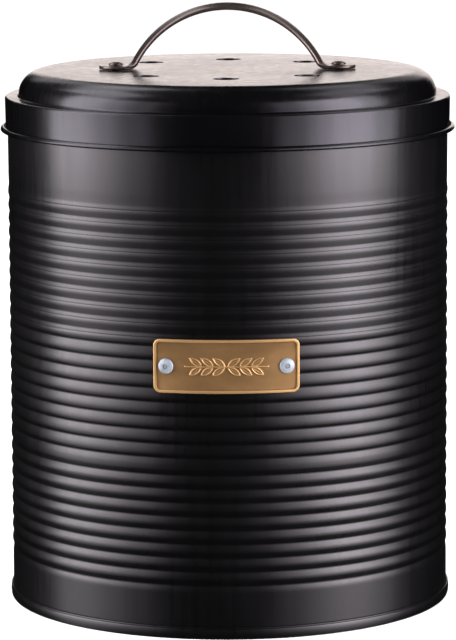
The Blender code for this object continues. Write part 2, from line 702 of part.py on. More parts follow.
def make_filter_holder(material):
    """A ring under the lid, carried by a bar across it that the handle's rivets hold."""
    low = holder_top - HOLDER_DEPTH
    outline = [
        (holder_radius, holder_top),
        (holder_radius, low),
        (holder_bore, low),
        (holder_bore, holder_top),
    ]
    holder = add_object("filter_holder", turned(outline, PART_FACETS), material)
    reach = (holder_radius - HOLDER_WALL / 2) * math.cos(math.pi / PART_FACETS)
    half = HOLDER_BAR_WIDTH / 2
    bar_low = holder_top - HOLDER_BAR_THICKNESS
    bar = box((-reach, -half, bar_low), (reach, half, holder_top))
    combine(holder, add_cutter("holder_bar", bar), "UNION")
    holes = bmesh.new()
    for side in (-1, 1):
        start = (side * VENT_CIRCLE_RADIUS, 0, bar_low - CUT_OVERRUN)
        end = (side * VENT_CIRCLE_RADIUS, 0, holder_top + CUT_OVERRUN)
        rod(start, end, RIVET_SHANK_RADIUS + RIVET_FIT, RIVET_FACETS, holes)
    combine(holder, add_cutter("holder_rivet_holes", holes), "DIFFERENCE")
    return holder


def make_filter_cover(material):
    """A push-fit grille with a collar that enters the holder's ring, and a tab to pull it off by."""
    collar_top = cover_top + COVER_COLLAR_HEIGHT
    outline = [
        (0, cover_top),
        (collar_bore, cover_top),
        (collar_bore, collar_top),
        (collar_radius, collar_top),
        (collar_radius, cover_top),
        (holder_radius, cover_top),
        (holder_radius, cover_low),
        (0, cover_low),
    ]
    cover = add_object("filter_cover", turned(outline, PART_FACETS), material)
    tab = rod((0, -holder_radius, cover_low), (0, -holder_radius, cover_top), COVER_TAB_RADIUS, HOLE_FACETS)
    combine(cover, add_cutter("cover_tab", tab), "UNION")
    slots = bmesh.new()
    pitch = GRILLE_BAR + GRILLE_SLOT
    most = int((grille_radius - GRILLE_SLOT / 2) / pitch)
    for number in range(-most, most + 1):
        y = number * pitch
        half = math.sqrt(grille_radius**2 - (abs(y) + GRILLE_SLOT / 2) ** 2)
        low = (-half, y - GRILLE_SLOT / 2, cover_low - CUT_OVERRUN)
        high = (half, y + GRILLE_SLOT / 2, cover_top + CUT_OVERRUN)
        box(low, high, slots)
    combine(cover, add_cutter("grille_slots", slots), "DIFFERENCE")
    return cover


def make_filter_pad(material):
    """The charcoal pad, inside the cover's collar."""
    low = cover_top + SEAT_GAP
    radius = collar_bore - SEAT_GAP
    outline = [
        (0, low + PAD_THICKNESS),
        (radius - PAD_EDGE, low + PAD_THICKNESS),
        (radius, low + PAD_THICKNESS - PAD_EDGE),
        (radius, low + PAD_EDGE),
        (radius - PAD_EDGE, low),
        (0, low),
    ]
    return add_object("filter_pad", turned(outline, PART_FACETS), material)


def clear_scene():
    """Removes what the scene starts with."""
    for obj in list(bpy.data.objects):
        bpy.data.objects.remove(obj)


def main():
    clear_scene()
    paint = look("black_paint", BLACK_PAINT, 0.0, 0.38)
    brass = look("brass", BRASS, 1.0, 0.35)
    gun_metal = look("gun_metal", GUN_METAL, 1.0, 0.4)
    pale_steel = look("pale_steel", PALE_STEEL, 1.0, 0.3)
    plastic = look("grey_plastic", GREY_PLASTIC, 0.0, 0.5)
    zinc = look("zinc", ZINC, 1.0, 0.35)
    charcoal = look("charcoal", CHARCOAL, 0.0, 0.9)
    make_can_wall(paint)
    make_base_pan(paint)
    make_name_plate(brass)
    make_plate_rivets(pale_steel, zinc)
    make_liner_bucket(plastic)
    make_bail(zinc, plastic)
    make_lid_shell(paint)
    make_lid_handle(gun_metal)
    make_handle_rivets(gun_metal)
    make_filter_holder(plastic)
    make_filter_cover(plastic)
    make_filter_pad(charcoal)


main()
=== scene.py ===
"""Food waste caddy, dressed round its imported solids.

A ribbed can in satin black, a wrapped brass plate on blind rivets, a lift-off lid with vents and a strap
handle, and inside them a moulded bucket with its bail and a felt pad under a grille. Metres, +Z up, with the
plate towards -Y.
"""

import math
from types import SimpleNamespace

import bmesh
import bpy
from bpy.props import FloatProperty, FloatVectorProperty, IntProperty, PointerProperty
from mathutils import Matrix, Vector, noise


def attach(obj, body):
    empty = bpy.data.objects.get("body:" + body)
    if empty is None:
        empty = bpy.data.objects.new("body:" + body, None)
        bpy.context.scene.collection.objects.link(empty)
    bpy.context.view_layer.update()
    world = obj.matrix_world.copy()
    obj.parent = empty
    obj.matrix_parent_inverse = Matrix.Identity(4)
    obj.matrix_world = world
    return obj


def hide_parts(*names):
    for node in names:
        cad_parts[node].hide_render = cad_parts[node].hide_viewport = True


bl_info = {
    "name": "Food Waste Caddy",
    "version": (1, 0, 0),
    "blender": (4, 5, 0),
    "location": "View3D > Sidebar > Caddy",
    "description": "Builds a ribbed food waste caddy with a vented lid, a bucket and a charcoal filter",
    "category": "Object",
}

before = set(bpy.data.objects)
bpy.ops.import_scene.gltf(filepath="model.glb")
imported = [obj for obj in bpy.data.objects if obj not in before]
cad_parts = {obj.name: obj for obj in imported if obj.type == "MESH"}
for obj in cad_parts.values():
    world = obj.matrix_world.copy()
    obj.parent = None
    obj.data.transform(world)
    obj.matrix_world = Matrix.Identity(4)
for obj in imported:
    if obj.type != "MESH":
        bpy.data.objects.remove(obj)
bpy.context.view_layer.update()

MERGE_REACH = 0.00001
CUT_OVERRUN = 0.004
AROUND = 160
AROUND_SMALL = 96
AROUND_RIVET = 48
GROUPS = ("upper", "middle", "lower")
RIB_SIZES = ("Top", "Groove", "Crest", "Power")

# Fine sizes of single pieces, in metres
SEAM_FADE = 0.002
PANEL_CORNER, PANEL_BEND = 0.0008, 0.0004
LEAST_CORNER = 0.0004
WRAP_PITCH, LEAF_GRID = 0.0015, 0.00016
HEAD_EDGE, PIN_DISH = 0.00008, 0.0001
BUCKET_CORNER, FOOT_CORNER = 0.0006, 0.0004
GRIP_ROUNDING, GRIP_END_WALL = 0.0009, 0.0002
VENT_FLARE, FLAT_MARGIN = 0.00018, 0.008
CHAMFER = 0.0003
FELT_DIP = 0.00002

# Shares, counts and angles of single pieces. Each lump of the felt is a scale of noise and a depth.
SEAM_SHARES = (-1.3, -1.0, -0.86, -0.74, 0.0, 0.74, 0.86, 1.0, 1.3)
NOTCH_MARGIN = 0.02
RIM_TOP_SHARE = 0.72
LEAF_LEAN = math.radians(33)
TAB_TURN = math.radians(84.375)
GRIP_WAVES = 6
UPPER_LUMPS, LOWER_LUMPS = ((90, 0.00016), (420, 0.00008)), ((150, 0.0001),)

# The camera of the photograph: its turns about the vertical, across its view and along it in degrees, its
# place in metres, and its lens and sensor in millimetres
CAMERA_TURNS = (-0.6069, 8.8437, -0.2941)
CAMERA_PLACE = (0.0152, -1.4562, 0.3337)
CAMERA_LENS, CAMERA_SENSOR = 212.48, 36.0

# The side lights fade towards their edges: each strip has the azimuths of its edges, with 0 towards the
# camera, and its brightness as a share of the side's. A strip has three parts between four heights.
LEFT_STRIPS = ((-98, -70, 1.0), (-70, -56, 0.58), (-56, -38, 0.2))
RIGHT_STRIPS = ((78, 92, 0.5), (54, 78, 1.03), (42, 54, 0.6), (26, 42, 0.18))
STRIP_DISTANCE = 1.15
STRIP_HEIGHTS = (1.0, 0.05, -0.2, -0.6)

# The other lights: azimuth, distance, width, lower end and upper end
SIDE_LIGHT = (98, 1.5, 1.4, 1.35, 2.9)
REAR_LIGHT = (142, 1.5, 1.1, 1.55, 2.9)
EDGE_LIGHT = (162, 1.6, 0.45, 0.65, 1.6)
BACK_LIGHT = (177, 1.6, 0.8, 0.10, 0.6)
COOL, WARM = (1.0, 0.975, 1.0), (1.0, 0.89, 0.85)
FLOOR_SIZE, FLOOR_DROP = 12, 0.00005


# Sizes and colours that a user may change


def length(label, default, about):
    return FloatProperty(name=label, description=about, default=default, min=0.0, unit="LENGTH", precision=5)


def share(label, default, about):
    return FloatProperty(name=label, description=about, default=default, min=0.0, max=1.0, subtype="FACTOR")


def number(label, default, about):
    return FloatProperty(name=label, description=about, default=default, min=0.0)


def count(label, default, about):
    return IntProperty(name=label, description=about, default=default, min=1)


def three(label, default, about):
    """A number for each of the upper, middle and lower groups of ribs."""
    return FloatVectorProperty(name=label, description=about, default=default, min=0.0, size=3, precision=5)


def colour(label, default, about):
    return FloatVectorProperty(
        name=label, description=about, default=default, min=0.0, max=1.0, size=3, subtype="COLOR"
    )


class CaddyCanSizes(bpy.types.PropertyGroup):
    wall_radius: length("Wall radius", 0.0850, "Radius of the plain wall")
    wall_top: length("Wall top", 0.1934, "Height of the rolled rim")
    sheet: length("Sheet", 0.0005, "Thickness of the steel sheet")
    seat_gap: length("Seat gap", 0.0003, "Gap between parts that rest on each other")
    rim_curl: length("Rim curl", 0.0015, "Radius of the rolled rim")
    rib_crest: length("Rib crest", 0.0002, "How far the ribs stand out of the plain wall")
    rib_groove: three("Rib grooves", (0.00028, 0.00038, 0.0005), "How far the grooves lie inside the wall")
    rib_top: three("Rib crests", (0.54, 0.64, 0.54), "Where the crest stands between two grooves, as a share")
    rib_power: three("Rib powers", (1.15, 1.6, 1.15), "1 gives a straight lower flank, 2 a rounded one")
    ribs_in_group: count("Ribs in a group", 9, "Grooves in each of the three groups")
    upper_band: length("Upper band", 0.0371, "From the rim to the first groove")
    lower_band: length("Lower band", 0.0200, "From the last groove to the floor")
    first_gap: length("First gap", 0.00477, "Between the upper and the middle group's grooves")
    second_gap: length("Second gap", 0.00647, "Between the middle and the lower group's grooves")
    first_groove: share("First groove", 0.30, "Depth of the groove over the first rib, as a share")
    notch_place: share("Notch", 0.29, "Place of the fine crease in an upper rib, as a share of the pitch")
    notch_width: share("Notch's width", 0.125, "Its width, as a share of the pitch")
    notch_depth: length("Notch's depth", 0.00010, "Its depth")
    seam_width: length("Side seam", 0.0040, "Width of the welded lap at the back")
    seam_rise: length("Side seam's rise", 0.00015, "How far the welded lap stands out")


class CaddyBaseSizes(bpy.types.PropertyGroup):
    seam_height: length("Fold height", 0.0045, "Height of the edge folded round the wall")
    seam_corner: length("Fold corner", 0.0006, "Rounding of the fold")
    seam_crease: length("Fold's crease", 0.00012, "Depth of the crease under the fold's lip")
    seam_bulge: length("Fold's bulge", 0.00020, "How far the fold swells between its crease and its corner")
    recess: length("Panel recess", 0.0030, "How far the panel lies above the floor")
    bead_inset: length("Bead inset", 0.0250, "From the wall to the panel's bead")
    bead_width: length("Bead width", 0.0060, "Width of the panel's bead")
    bead_rise: length("Bead rise", 0.0008, "Height of the panel's bead")
    bead_slope: length("Bead slope", 0.0012, "Width of the bead's flanks")


class CaddyPlateSizes(bpy.types.PropertyGroup):
    width: length("Width", 0.0540, "Width of the plate")
    height: length("Height", 0.0200, "Height of the plate")
    middle: length("Middle", 0.1030, "Height of the plate's middle")
    thickness: length("Thickness", 0.0006, "Thickness of the field")
    rim_width: length("Rim width", 0.0013, "Width of the raised rim")
    rim_rise: length("Rim rise", 0.0005, "How far the rim stands over the field")
    corner: length("Corner", 0.0025, "Radius of the outline's corners")
    rivet_inset: length("Rivet inset", 0.0050, "From the plate's end to the rivet")
    leaf_length: length("Leaf length", 0.0052, "Length of each pressed leaf")
    leaf_width: length("Leaf width", 0.0019, "Width of each pressed leaf")
    leaf_pitch: length("Leaf pitch", 0.0043, "Distance between two pairs of leaves")
    leaf_pairs: count("Leaf pairs", 3, "Pairs of leaves on each half of the sprig")
    leaf_rise: length("Leaf rise", 0.00035, "How far the leaves stand out")
    line_width: length("Line width", 0.00032, "Half the width of a pressed outline")


class CaddyRivetSizes(bpy.types.PropertyGroup):
    shank_radius: length("Shank radius", 0.0016, "Radius of the shanks")
    fit: length("Hole fit", 0.00015, "Gap round a shank")
    head_radius: length("Head radius", 0.0029, "Radius of the domed heads")
    head_rise: length("Head rise", 0.0011, "Height of the domed heads")
    blind_tail_radius: length("Blind tail radius", 0.0024, "Radius of a plate rivet's swollen tail")
    blind_tail_length: length("Blind tail length", 0.0032, "Length of that tail")
    mandrel_radius: length("Mandrel radius", 0.0008, "Radius of the pin left in a plate rivet")
    mandrel_fit: length("Mandrel fit", 0.0001, "Gap round that pin")
    mandrel_sink: length("Mandrel sink", 0.0002, "How deep that pin ends under the dome")
    knob_radius: length("Knob radius", 0.0014, "Radius of the pin's knob")
    knob_length: length("Knob length", 0.0012, "Length of the pin's knob")
    tail_radius: length("Tail radius", 0.0026, "Radius of a handle rivet's tail")
    tail_length: length("Tail length", 0.0010, "Length of a handle rivet's tail")


class CaddyBucketSizes(bpy.types.PropertyGroup):
    wall: length("Wall", 0.0015, "Thickness of the moulded wall")
    flange_thickness: length("Flange thickness", 0.0012, "Thickness of the flange")
    flange_inset: length("Flange inset", 0.0007, "How far the flange ends inside the can's wall")
    rim_clearance: length("Rim clearance", 0.0009, "Between the bucket and the can's rolled rim")
    shelf_width: length("Shelf width", 0.0051, "Width of the shelf that carries the bail")
    taper: length("Taper", 0.0055, "How much the wall narrows from the shelf to the floor")
    corner: length("Corner", 0.0060, "Rounding of the floor's edge")
    clearance: length("Clearance", 0.0055, "Between the bucket and the can's base")
    foot_inset: length("Foot inset", 0.0110, "From the wall to the foot ring")
    foot_width: length("Foot width", 0.0030, "Width of the foot ring")
    foot_depth: length("Foot depth", 0.0015, "Depth of the foot ring")
    wire_radius: length("Wire radius", 0.0015, "Radius of the bail's wire")
    wire_bend: length("Wire bend", 0.0025, "Radius of the bends at the bail's ends")
    wire_fit: length("Wire fit", 0.00008, "Gap round the wire in its ears")
    wire_margin: length("Wire margin", 0.0002, "How deep the wire ends inside the wall")
    ear_wall: length("Ear wall", 0.00242, "Thickness of the ears round the wire")
    ear_length: length("Ear length", 0.0030, "How far the ears stand into the mouth")
    ear_margin: length("Ear margin", 0.00015, "From the flange down to the ears")
    grip_wall: length("Grip wall", 0.00095, "Thickness of the moulded grip")
    grip_half: length("Half the grip", 0.0240, "Half the length of the grip")
    grip_margin: length("Grip margin", 0.00085, "From the folded grip to the mouth")
    grip_groove: length("Grip grooves", 0.00025, "Depth of the grooves round the grip")


class CaddyLidSizes(bpy.types.PropertyGroup):
    skirt_fit: length("Skirt fit", 0.00025, "Gap between skirt and wall")
    skirt_draft: length("Skirt draft", 0.0002, "How much the skirt narrows downwards")
    skirt_drop: length("Skirt drop", 0.0127, "From the ledge to the middle of the bead")
    bead_radius: length("Bead radius", 0.00125, "Radius of the rolled bead")
    bead_press: share("Bead's lower half", 0.55, "Height of the bead's lower half, as a share of its radius")
    ledge_corner: length("Ledge corner", 0.0009, "Rounding of the ledge's edge")
    crown_step: length("Crown step", 0.0044, "From the wall in to the crown")
    crown_height: length("Crown height", 0.0096, "Height of the crown over the ledge")
    crown_shoulder: length("Crown shoulder", 0.0092, "Width of the crown's rounded shoulder")
    crown_fillet: length("Crown fillet", 0.0008, "Rounding at the crown's foot")
    vent_radius: length("Vent radius", 0.0048, "Radius of the vents")
    vent_circle: length("Vent circle", 0.0430, "Radius of the circle of vents and rivets")


class CaddyHandleSizes(bpy.types.PropertyGroup):
    rise: length("Rise", 0.0257, "Height of the arch over the lid")
    foot_start: length("Foot start", 0.0030, "From the rivet in to the start of the bend")
    foot_bend: length("Foot bend", 0.0045, "Radius of the feet's bends")
    thickness: length("Thickness", 0.0012, "Thickness of the strap")
    strap_width: length("Strap width", 0.0125, "Width of the arch")
    crown: length("Crown", 0.0016, "How much the strap's edges fall from its middle")
    tab_width: length("Tab width", 0.0148, "Width of the tabs")
    tab_reach: length("Tab reach", 0.0065, "From the rivet out to the tab's end")


class CaddyFilterSizes(bpy.types.PropertyGroup):
    margin: length("Margin", 0.0130, "From the circle of vents to the holder's outside")
    wall: length("Wall", 0.0015, "Thickness of the ring")
    depth: length("Depth", 0.0082, "Depth of the ring")
    bar_width: length("Bar width", 0.0120, "Width of the bar across the ring")
    bar_thickness: length("Bar thickness", 0.0015, "Thickness of the bar")
    pad_thickness: length("Pad thickness", 0.0036, "Thickness of the felt")
    pad_edge: length("Pad edge", 0.0006, "Rounding of the felt's edge")
    cover_thickness: length("Cover thickness", 0.0012, "Thickness of the grille")
    collar_height: length("Collar height", 0.0016, "Height of the collar in the ring")
    tab_radius: length("Tab radius", 0.0050, "Radius of the pull tab")
    bar: length("Grille bar", 0.0035, "Width of the grille's bars")
    slot: length("Grille slot", 0.0060, "Width of the grille's slots")
    grille_margin: length("Grille margin", 0.0047, "From the collar in to the slots")


class CaddyFinishes(bpy.types.PropertyGroup):
    coat: colour("Coat", (0.0007, 0.00062, 0.00075), "Satin black coat of the can and the lid")
    coat_roughness: share("Coat's roughness", 0.305, "Roughness of the can's coat")
    coat_shine: share("Coat's shine", 0.5, "Specular level of the can's coat")
    coat_glint: colour("Coat's glint", (1.0, 0.94, 1.0), "Tint of the can's highlights")
    lid_roughness: share("Lid's roughness", 0.24, "Roughness of the lid's coat")
    lid_shine: share("Lid's shine", 0.36, "Specular level of the lid's coat")
    lid_glint: colour("Lid's glint", (0.93, 0.87, 1.0), "Tint of the lid's highlights")
    brass: colour("Brass", (0.66, 0.395, 0.172), "Brass of the plate")
    patina: colour("Patina", (0.178, 0.095, 0.038), "Brass where it has darkened")
    rivet: colour("Plate rivets", (0.27, 0.295, 0.335), "Bright rivet heads")
    zinc: colour("Zinc", (0.46, 0.47, 0.49), "Plated wire and pins")
    strap: colour("Strap", (0.100, 0.082, 0.079), "Gun-metal plating of the strap")
    plastic: colour("Plastic", (0.105, 0.110, 0.112), "Grey plastic of the bucket and the filter parts")
    felt: colour("Felt", (0.022, 0.022, 0.023), "Charcoal felt")


class CaddyStudio(bpy.types.PropertyGroup):
    floor: colour("Floor", (0.90, 0.90, 0.90), "Colour of the floor")
    ambient: number("Ambient", 1.25, "Brightness of the room")
    left: number("Left lights", 8.2, "Brightness of the tall lights on the left")
    right: number("Right lights", 10.0, "Brightness of the tall lights on the right")
    back: number("Back light", 2.05, "Brightness of the light behind the lid")
    below: share("Low lights", 0.35, "Brightness of the side lights' lower ends, as a share of theirs")
    above: number("High side lights", 5.0, "Brightness of the high lights at the sides")
    behind: number("High rear lights", 3.0, "Brightness of the high lights behind")
    edge: number("Edge lights", 0.7, "Brightness of the lights that the crown's upper edge mirrors")
    deep: share("Deep lights", 0.2, "Brightness of the lights under those, as a share of the side lights'")
    right_share: share("Right side's share", 0.5, "Brightness of the right high lights, as a share")


class CaddySettings(bpy.types.PropertyGroup):
    can: PointerProperty(type=CaddyCanSizes)
    base: PointerProperty(type=CaddyBaseSizes)
    plate: PointerProperty(type=CaddyPlateSizes)
    rivet: PointerProperty(type=CaddyRivetSizes)
    bucket: PointerProperty(type=CaddyBucketSizes)
    lid: PointerProperty(type=CaddyLidSizes)
    handle: PointerProperty(type=CaddyHandleSizes)
    filter: PointerProperty(type=CaddyFilterSizes)
    finish: PointerProperty(type=CaddyFinishes)
    studio: PointerProperty(type=CaddyStudio)


def places(caddy):
    """Radii and heights that follow from what stands on what."""
    can, base, bucket, lid, cover = caddy.can, caddy.base, caddy.bucket, caddy.lid, caddy.filter
    at = SimpleNamespace()
    gaps = can.first_gap + can.second_gap
    at.pitch = (can.wall_top - can.upper_band - can.lower_band - gaps) / (3 * (can.ribs_in_group - 1))
    span = at.pitch * (can.ribs_in_group - 1)
    first = can.wall_top - can.upper_band
    second = first - span - can.first_gap
    third = second - span - can.second_gap
    at.group_tops = (first, second, third)
    at.group_splits = (first - span - can.first_gap / 2, second - span - can.second_gap / 2)
    at.last_groove = third - span
    at.mouth = can.wall_radius - 2 * can.rim_curl - bucket.rim_clearance - bucket.wall
    at.shelf = at.mouth - bucket.shelf_width
    at.bucket_lower = at.shelf - bucket.taper
    at.bucket_foot = at.bucket_lower - bucket.foot_inset
    at.panel_bead = can.wall_radius - base.bead_inset
    at.crown = can.wall_radius - lid.crown_step
    at.holder = lid.vent_circle + cover.margin
    at.holder_bore = at.holder - cover.wall
    at.collar = at.holder_bore - can.seat_gap
    at.collar_bore = at.collar - cover.wall
    at.grille = at.collar_bore - cover.grille_margin
    at.ear = bucket.wire_radius + bucket.wire_fit + bucket.ear_wall
    at.grip = bucket.wire_radius + can.seat_gap + bucket.grip_wall
    at.bail_half_width = at.mouth - bucket.ear_length - can.seat_gap - bucket.wire_bend
    at.bail_reach = at.mouth - bucket.grip_margin - at.grip
    at.flange_low = can.wall_top + can.seat_gap
    at.flange_top = at.flange_low + bucket.flange_thickness
    at.ledge_top = at.flange_top + can.seat_gap + can.sheet
    at.lid_top = at.ledge_top + lid.crown_height
    at.lid_under = at.lid_top - can.sheet
    at.bail_height = at.flange_top - bucket.ear_margin - at.ear
    at.shelf_top = at.bail_height - at.grip - can.seat_gap
    at.holder_top = at.lid_under - can.seat_gap
    at.cover_top = at.holder_top - cover.depth - can.seat_gap
    at.cover_low = at.cover_top - cover.cover_thickness
    at.plate_back = can.wall_radius + can.rib_crest + can.seat_gap
    at.plate_face = at.plate_back + caddy.plate.thickness
    return at


# Node trees


def written(operation, reflected=False):
    """A method for one of Python's operators, which adds the Math node that does the same."""
    if reflected:
        return lambda self, other: self.maker.math(operation, other, self)
    return lambda self, other: self.maker.math(operation, self, other)


class Number:
    """A socket that carries a number, so that sums of sockets can be written as sums."""

    def __init__(self, maker, socket):
        self.maker = maker
        self.socket = socket

    def __abs__(self):
        return self.maker.math("ABSOLUTE", self)

    __add__, __radd__ = written("ADD"), written("ADD", reflected=True)
    __sub__, __rsub__ = written("SUBTRACT"), written("SUBTRACT", reflected=True)
    __mul__, __rmul__ = written("MULTIPLY"), written("MULTIPLY", reflected=True)
    __truediv__, __rtruediv__ = written("DIVIDE"), written("DIVIDE", reflected=True)
    __pow__ = written("POWER")
    __lt__, __gt__ = written("LESS_THAN"), written("GREATER_THAN")


class Maker:
    """Adds nodes to one tree."""

    def __init__(self, tree):
        self.tree = tree

    def node(self, kind, settings=None, values=None):
        """A node with its settings made first, and then the values or links of its sockets."""
        made = self.tree.nodes.new(kind)
        for name, value in (settings or {}).items():
            setattr(made, name, value)
        for key, value in (values or {}).items():
            value = value.socket if isinstance(value, Number) else value
            if isinstance(value, bpy.types.NodeSocket):
                self.tree.links.new(value, made.inputs[key])
            else:
                made.inputs[key].default_value = value
        return made

    def math(self, operation, *values):
        made = self.node("ShaderNodeMath", {"operation": operation}, dict(enumerate(values)))
        return Number(self, made.outputs[0])

    def most(self, first, *others):
        """The largest of some numbers."""
        for other in others:
            first = self.math("MAXIMUM", first, other)
        return first

    def smooth(self, value, low, high, start=0.0, end=1.0):
        """Goes smoothly from start to end as value goes from low to high."""
        values = {0: value, 1: low, 2: high, 3: start, 4: end}
        made = self.node("ShaderNodeMapRange", {"interpolation_type": "SMOOTHSTEP"}, values)
        return Number(self, made.outputs[0])

    def parts(self, vector):
        """The three numbers of a vector."""
        made = self.node("ShaderNodeSeparateXYZ", None, {0: vector})
        return [Number(self, socket) for socket in made.outputs]

    def vector(self, x, y, z):
        return self.node("ShaderNodeCombineXYZ", None, {0: x, 1: y, 2: z}).outputs[0]

    def position(self):
        """The three numbers of the place of a geometry's points."""
        return self.parts(self.node("GeometryNodeInputPosition").outputs[0])

    def moved(self, geometry, x, y, z):
        """A geometry with its points moved to new places."""
        values = {0: geometry, "Position": self.vector(x, y, z)}
        return self.node("GeometryNodeSetPosition", None, values).outputs[0]

    def cut(self, geometry, values):
        """A geometry with a shape cut out at points. The values are those of Instance on Points."""
        cutters = self.node("GeometryNodeInstanceOnPoints", None, values).outputs[0]
        real = self.node("GeometryNodeRealizeInstances", None, {0: cutters}).outputs[0]
        settings = {"operation": "DIFFERENCE", "solver": "EXACT"}
        values = {"Mesh 1": geometry, "Mesh 2": real}
        return self.node("GeometryNodeMeshBoolean", settings, values).outputs[0]

    def grain(self, vector, scale, detail=2.0, roughness=0.5):
        """Noise from 0 to 1 over a vector."""
        values = {"Vector": vector, "Scale": scale, "Detail": detail, "Roughness": roughness}
        return Number(self, self.node("ShaderNodeTexNoise", None, values).outputs["Fac"])

    def drawn_grain(self, vector, scales, detail=3.0, roughness=0.6):
        """Noise with a scale of its own along each axis."""
        settings = {"operation": "MULTIPLY"}
        scaled = self.node("ShaderNodeVectorMath", settings, {0: vector, 1: scales}).outputs[0]
        return self.grain(scaled, 1.0, detail, roughness)

    def blend(self, factor, first, second):
        """A colour between two colours."""
        values = {0: factor, 6: (*first, 1.0), 7: (*second, 1.0)}
        return self.node("ShaderNodeMix", {"data_type": "RGBA"}, values).outputs[2]


def geometry_tree(name, sizes):
    """An empty geometry tree, its maker, its input geometry and its named inputs."""
    tree = bpy.data.node_groups.new(name, "GeometryNodeTree")
    tree.interface.new_socket("Geometry", in_out="INPUT", socket_type="NodeSocketGeometry")
    for label, kind in sizes.items():
        tree.interface.new_socket(label, in_out="INPUT", socket_type=f"NodeSocket{kind}")
    tree.interface.new_socket("Material", in_out="INPUT", socket_type="NodeSocketMaterial")
    tree.interface.new_socket("Geometry", in_out="OUTPUT", socket_type="NodeSocketGeometry")
    maker = Maker(tree)
    given = maker.node("NodeGroupInput").outputs
    inputs = {label: Number(maker, given[label]) for label in sizes}
    inputs["Material"] = given["Material"]
    return tree, maker, given["Geometry"], inputs


def close_tree(maker, geometry, inputs):
    """Ends a geometry tree: what it made becomes real, and gets its material."""
    real = maker.node("GeometryNodeRealizeInstances", None, {0: geometry}).outputs[0]
    painted = maker.node("GeometryNodeSetMaterial", None, {0: real, 2: inputs["Material"]}).outputs[0]
    maker.node("NodeGroupOutput", None, {0: painted})


def grow(obj, tree, values):
    """Runs a geometry tree on an object and keeps the result as its plain mesh."""
    modifier = obj.modifiers.new(tree.name, "NODES")
    modifier.node_group = tree
    for item in tree.interface.items_tree:
        if item.item_type == "SOCKET" and item.in_out == "INPUT" and item.name in values:
            modifier[item.identifier] = values[item.name]
    settle(obj)


def settle(obj):
    """Keeps what an object's modifiers make as its plain mesh."""
    evaluated = obj.evaluated_get(bpy.context.evaluated_depsgraph_get())
    mesh = bpy.data.meshes.new_from_object(evaluated)
    obj.modifiers.clear()
    obj.data = mesh


# Mesh helpers


def arc(centre, radius, start, end, steps):
    """Points of a circle, or of an ellipse with a pair of radii, from one angle in degrees to another."""
    wide, high = radius if isinstance(radius, tuple) else (radius, radius)
    angles = [math.radians(start + (end - start) * i / steps) for i in range(steps + 1)]
    return [(centre[0] + wide * math.cos(a), centre[1] + high * math.sin(a)) for a in angles]


def join(bm, first, second):
    """Faces between two rings of points, either of which may be a single point."""
    around = max(len(first), len(second))
    for i in range(around):
        j = (i + 1) % around
        if len(first) > 1 and len(second) > 1:
            bm.faces.new((first[i], first[j], second[j], second[i]))
        elif len(first) > 1:
            bm.faces.new((first[i], first[j], second[0]))
        elif len(second) > 1:
            bm.faces.new((first[0], second[j], second[i]))


def turned(outline, around, angles=None):
    """Turns a closed outline of (radius, height) points about Z. A point on the axis becomes a pole."""
    bm = bmesh.new()
    angles = angles or [math.tau * i / around for i in range(around)]
    rings = []
    for radius, height in outline:
        if radius < MERGE_REACH:
            rings.append([bm.verts.new((0, 0, height))])
        else:
            rings.append([bm.verts.new((radius * math.cos(a), radius * math.sin(a), height)) for a in angles])
    for first, second in zip(rings, rings[1:] + rings[:1]):
        join(bm, first, second)
    bmesh.ops.remove_doubles(bm, verts=bm.verts, dist=MERGE_REACH / 10)
    bmesh.ops.recalc_face_normals(bm, faces=bm.faces)
    return bm


def joined_rings(rings, ring_of_rings=False):
    """A skin over rings of equally many points. Its ends are capped, or meet each other."""
    bm = bmesh.new()
    made = [[bm.verts.new(place) for place in ring] for ring in rings]
    pairs = list(zip(made, made[1:]))
    if ring_of_rings:
        pairs.append((made[-1], made[0]))
    else:
        bm.faces.new(made[0])
        bm.faces.new(made[-1])
    for first, second in pairs:
        join(bm, first, second)
    bmesh.ops.recalc_face_normals(bm, faces=bm.faces)
    return bm


def rod(start, end, radius, around):
    """A cylinder between two points."""
    bm = bmesh.new()
    start, end = Vector(start), Vector(end)
    turn = (end - start).to_track_quat("Z", "Y").to_matrix().to_4x4()
    turn.translation = (start + end) / 2
    sizes = {"radius1": radius, "radius2": radius, "depth": (end - start).length}
    bmesh.ops.create_cone(bm, cap_ends=True, segments=around, matrix=turn, **sizes)
    return bm


def new_object(name, bm):
    """An object at the origin with a finished bmesh."""
    mesh = bpy.data.meshes.new(name)
    bm.to_mesh(mesh)
    bm.free()
    obj = bpy.data.objects.new(name, mesh)
    bpy.context.scene.collection.objects.link(obj)
    return obj


def combine(obj, bm, operation):
    """Cuts an object with a shape, or joins the shape to it."""
    other = new_object("tool", bm)
    modifier = obj.modifiers.new("combine", "BOOLEAN")
    modifier.operation = operation
    modifier.solver = "EXACT"
    modifier.object = other
    settle(obj)
    bpy.data.objects.remove(other)


def finish_piece(obj, material, body, nodes, crease=32):
    """Gives a piece its material, its sharp edges and its body, and hides the CAD nodes that it stands for.
    """
    mesh = obj.data
    mesh.name = obj.name
    mesh.materials.clear()
    mesh.materials.append(material)
    mesh.shade_smooth()
    mesh.set_sharp_from_angle(angle=math.radians(crease))
    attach(obj, body)
    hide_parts(*nodes)


# Finishes


def new_material(name, metallic, roughness):
    """A material, its maker, its shader and the position on the object."""
    material = bpy.data.materials.new(name)
    material.use_nodes = True
    maker = Maker(material.node_tree)
    shader = material.node_tree.nodes["Principled BSDF"]
    shader.inputs["Metallic"].default_value = metallic
    shader.inputs["Roughness"].default_value = roughness
    place = maker.node("ShaderNodeTexCoord").outputs["Object"]
    return material, maker, shader, place


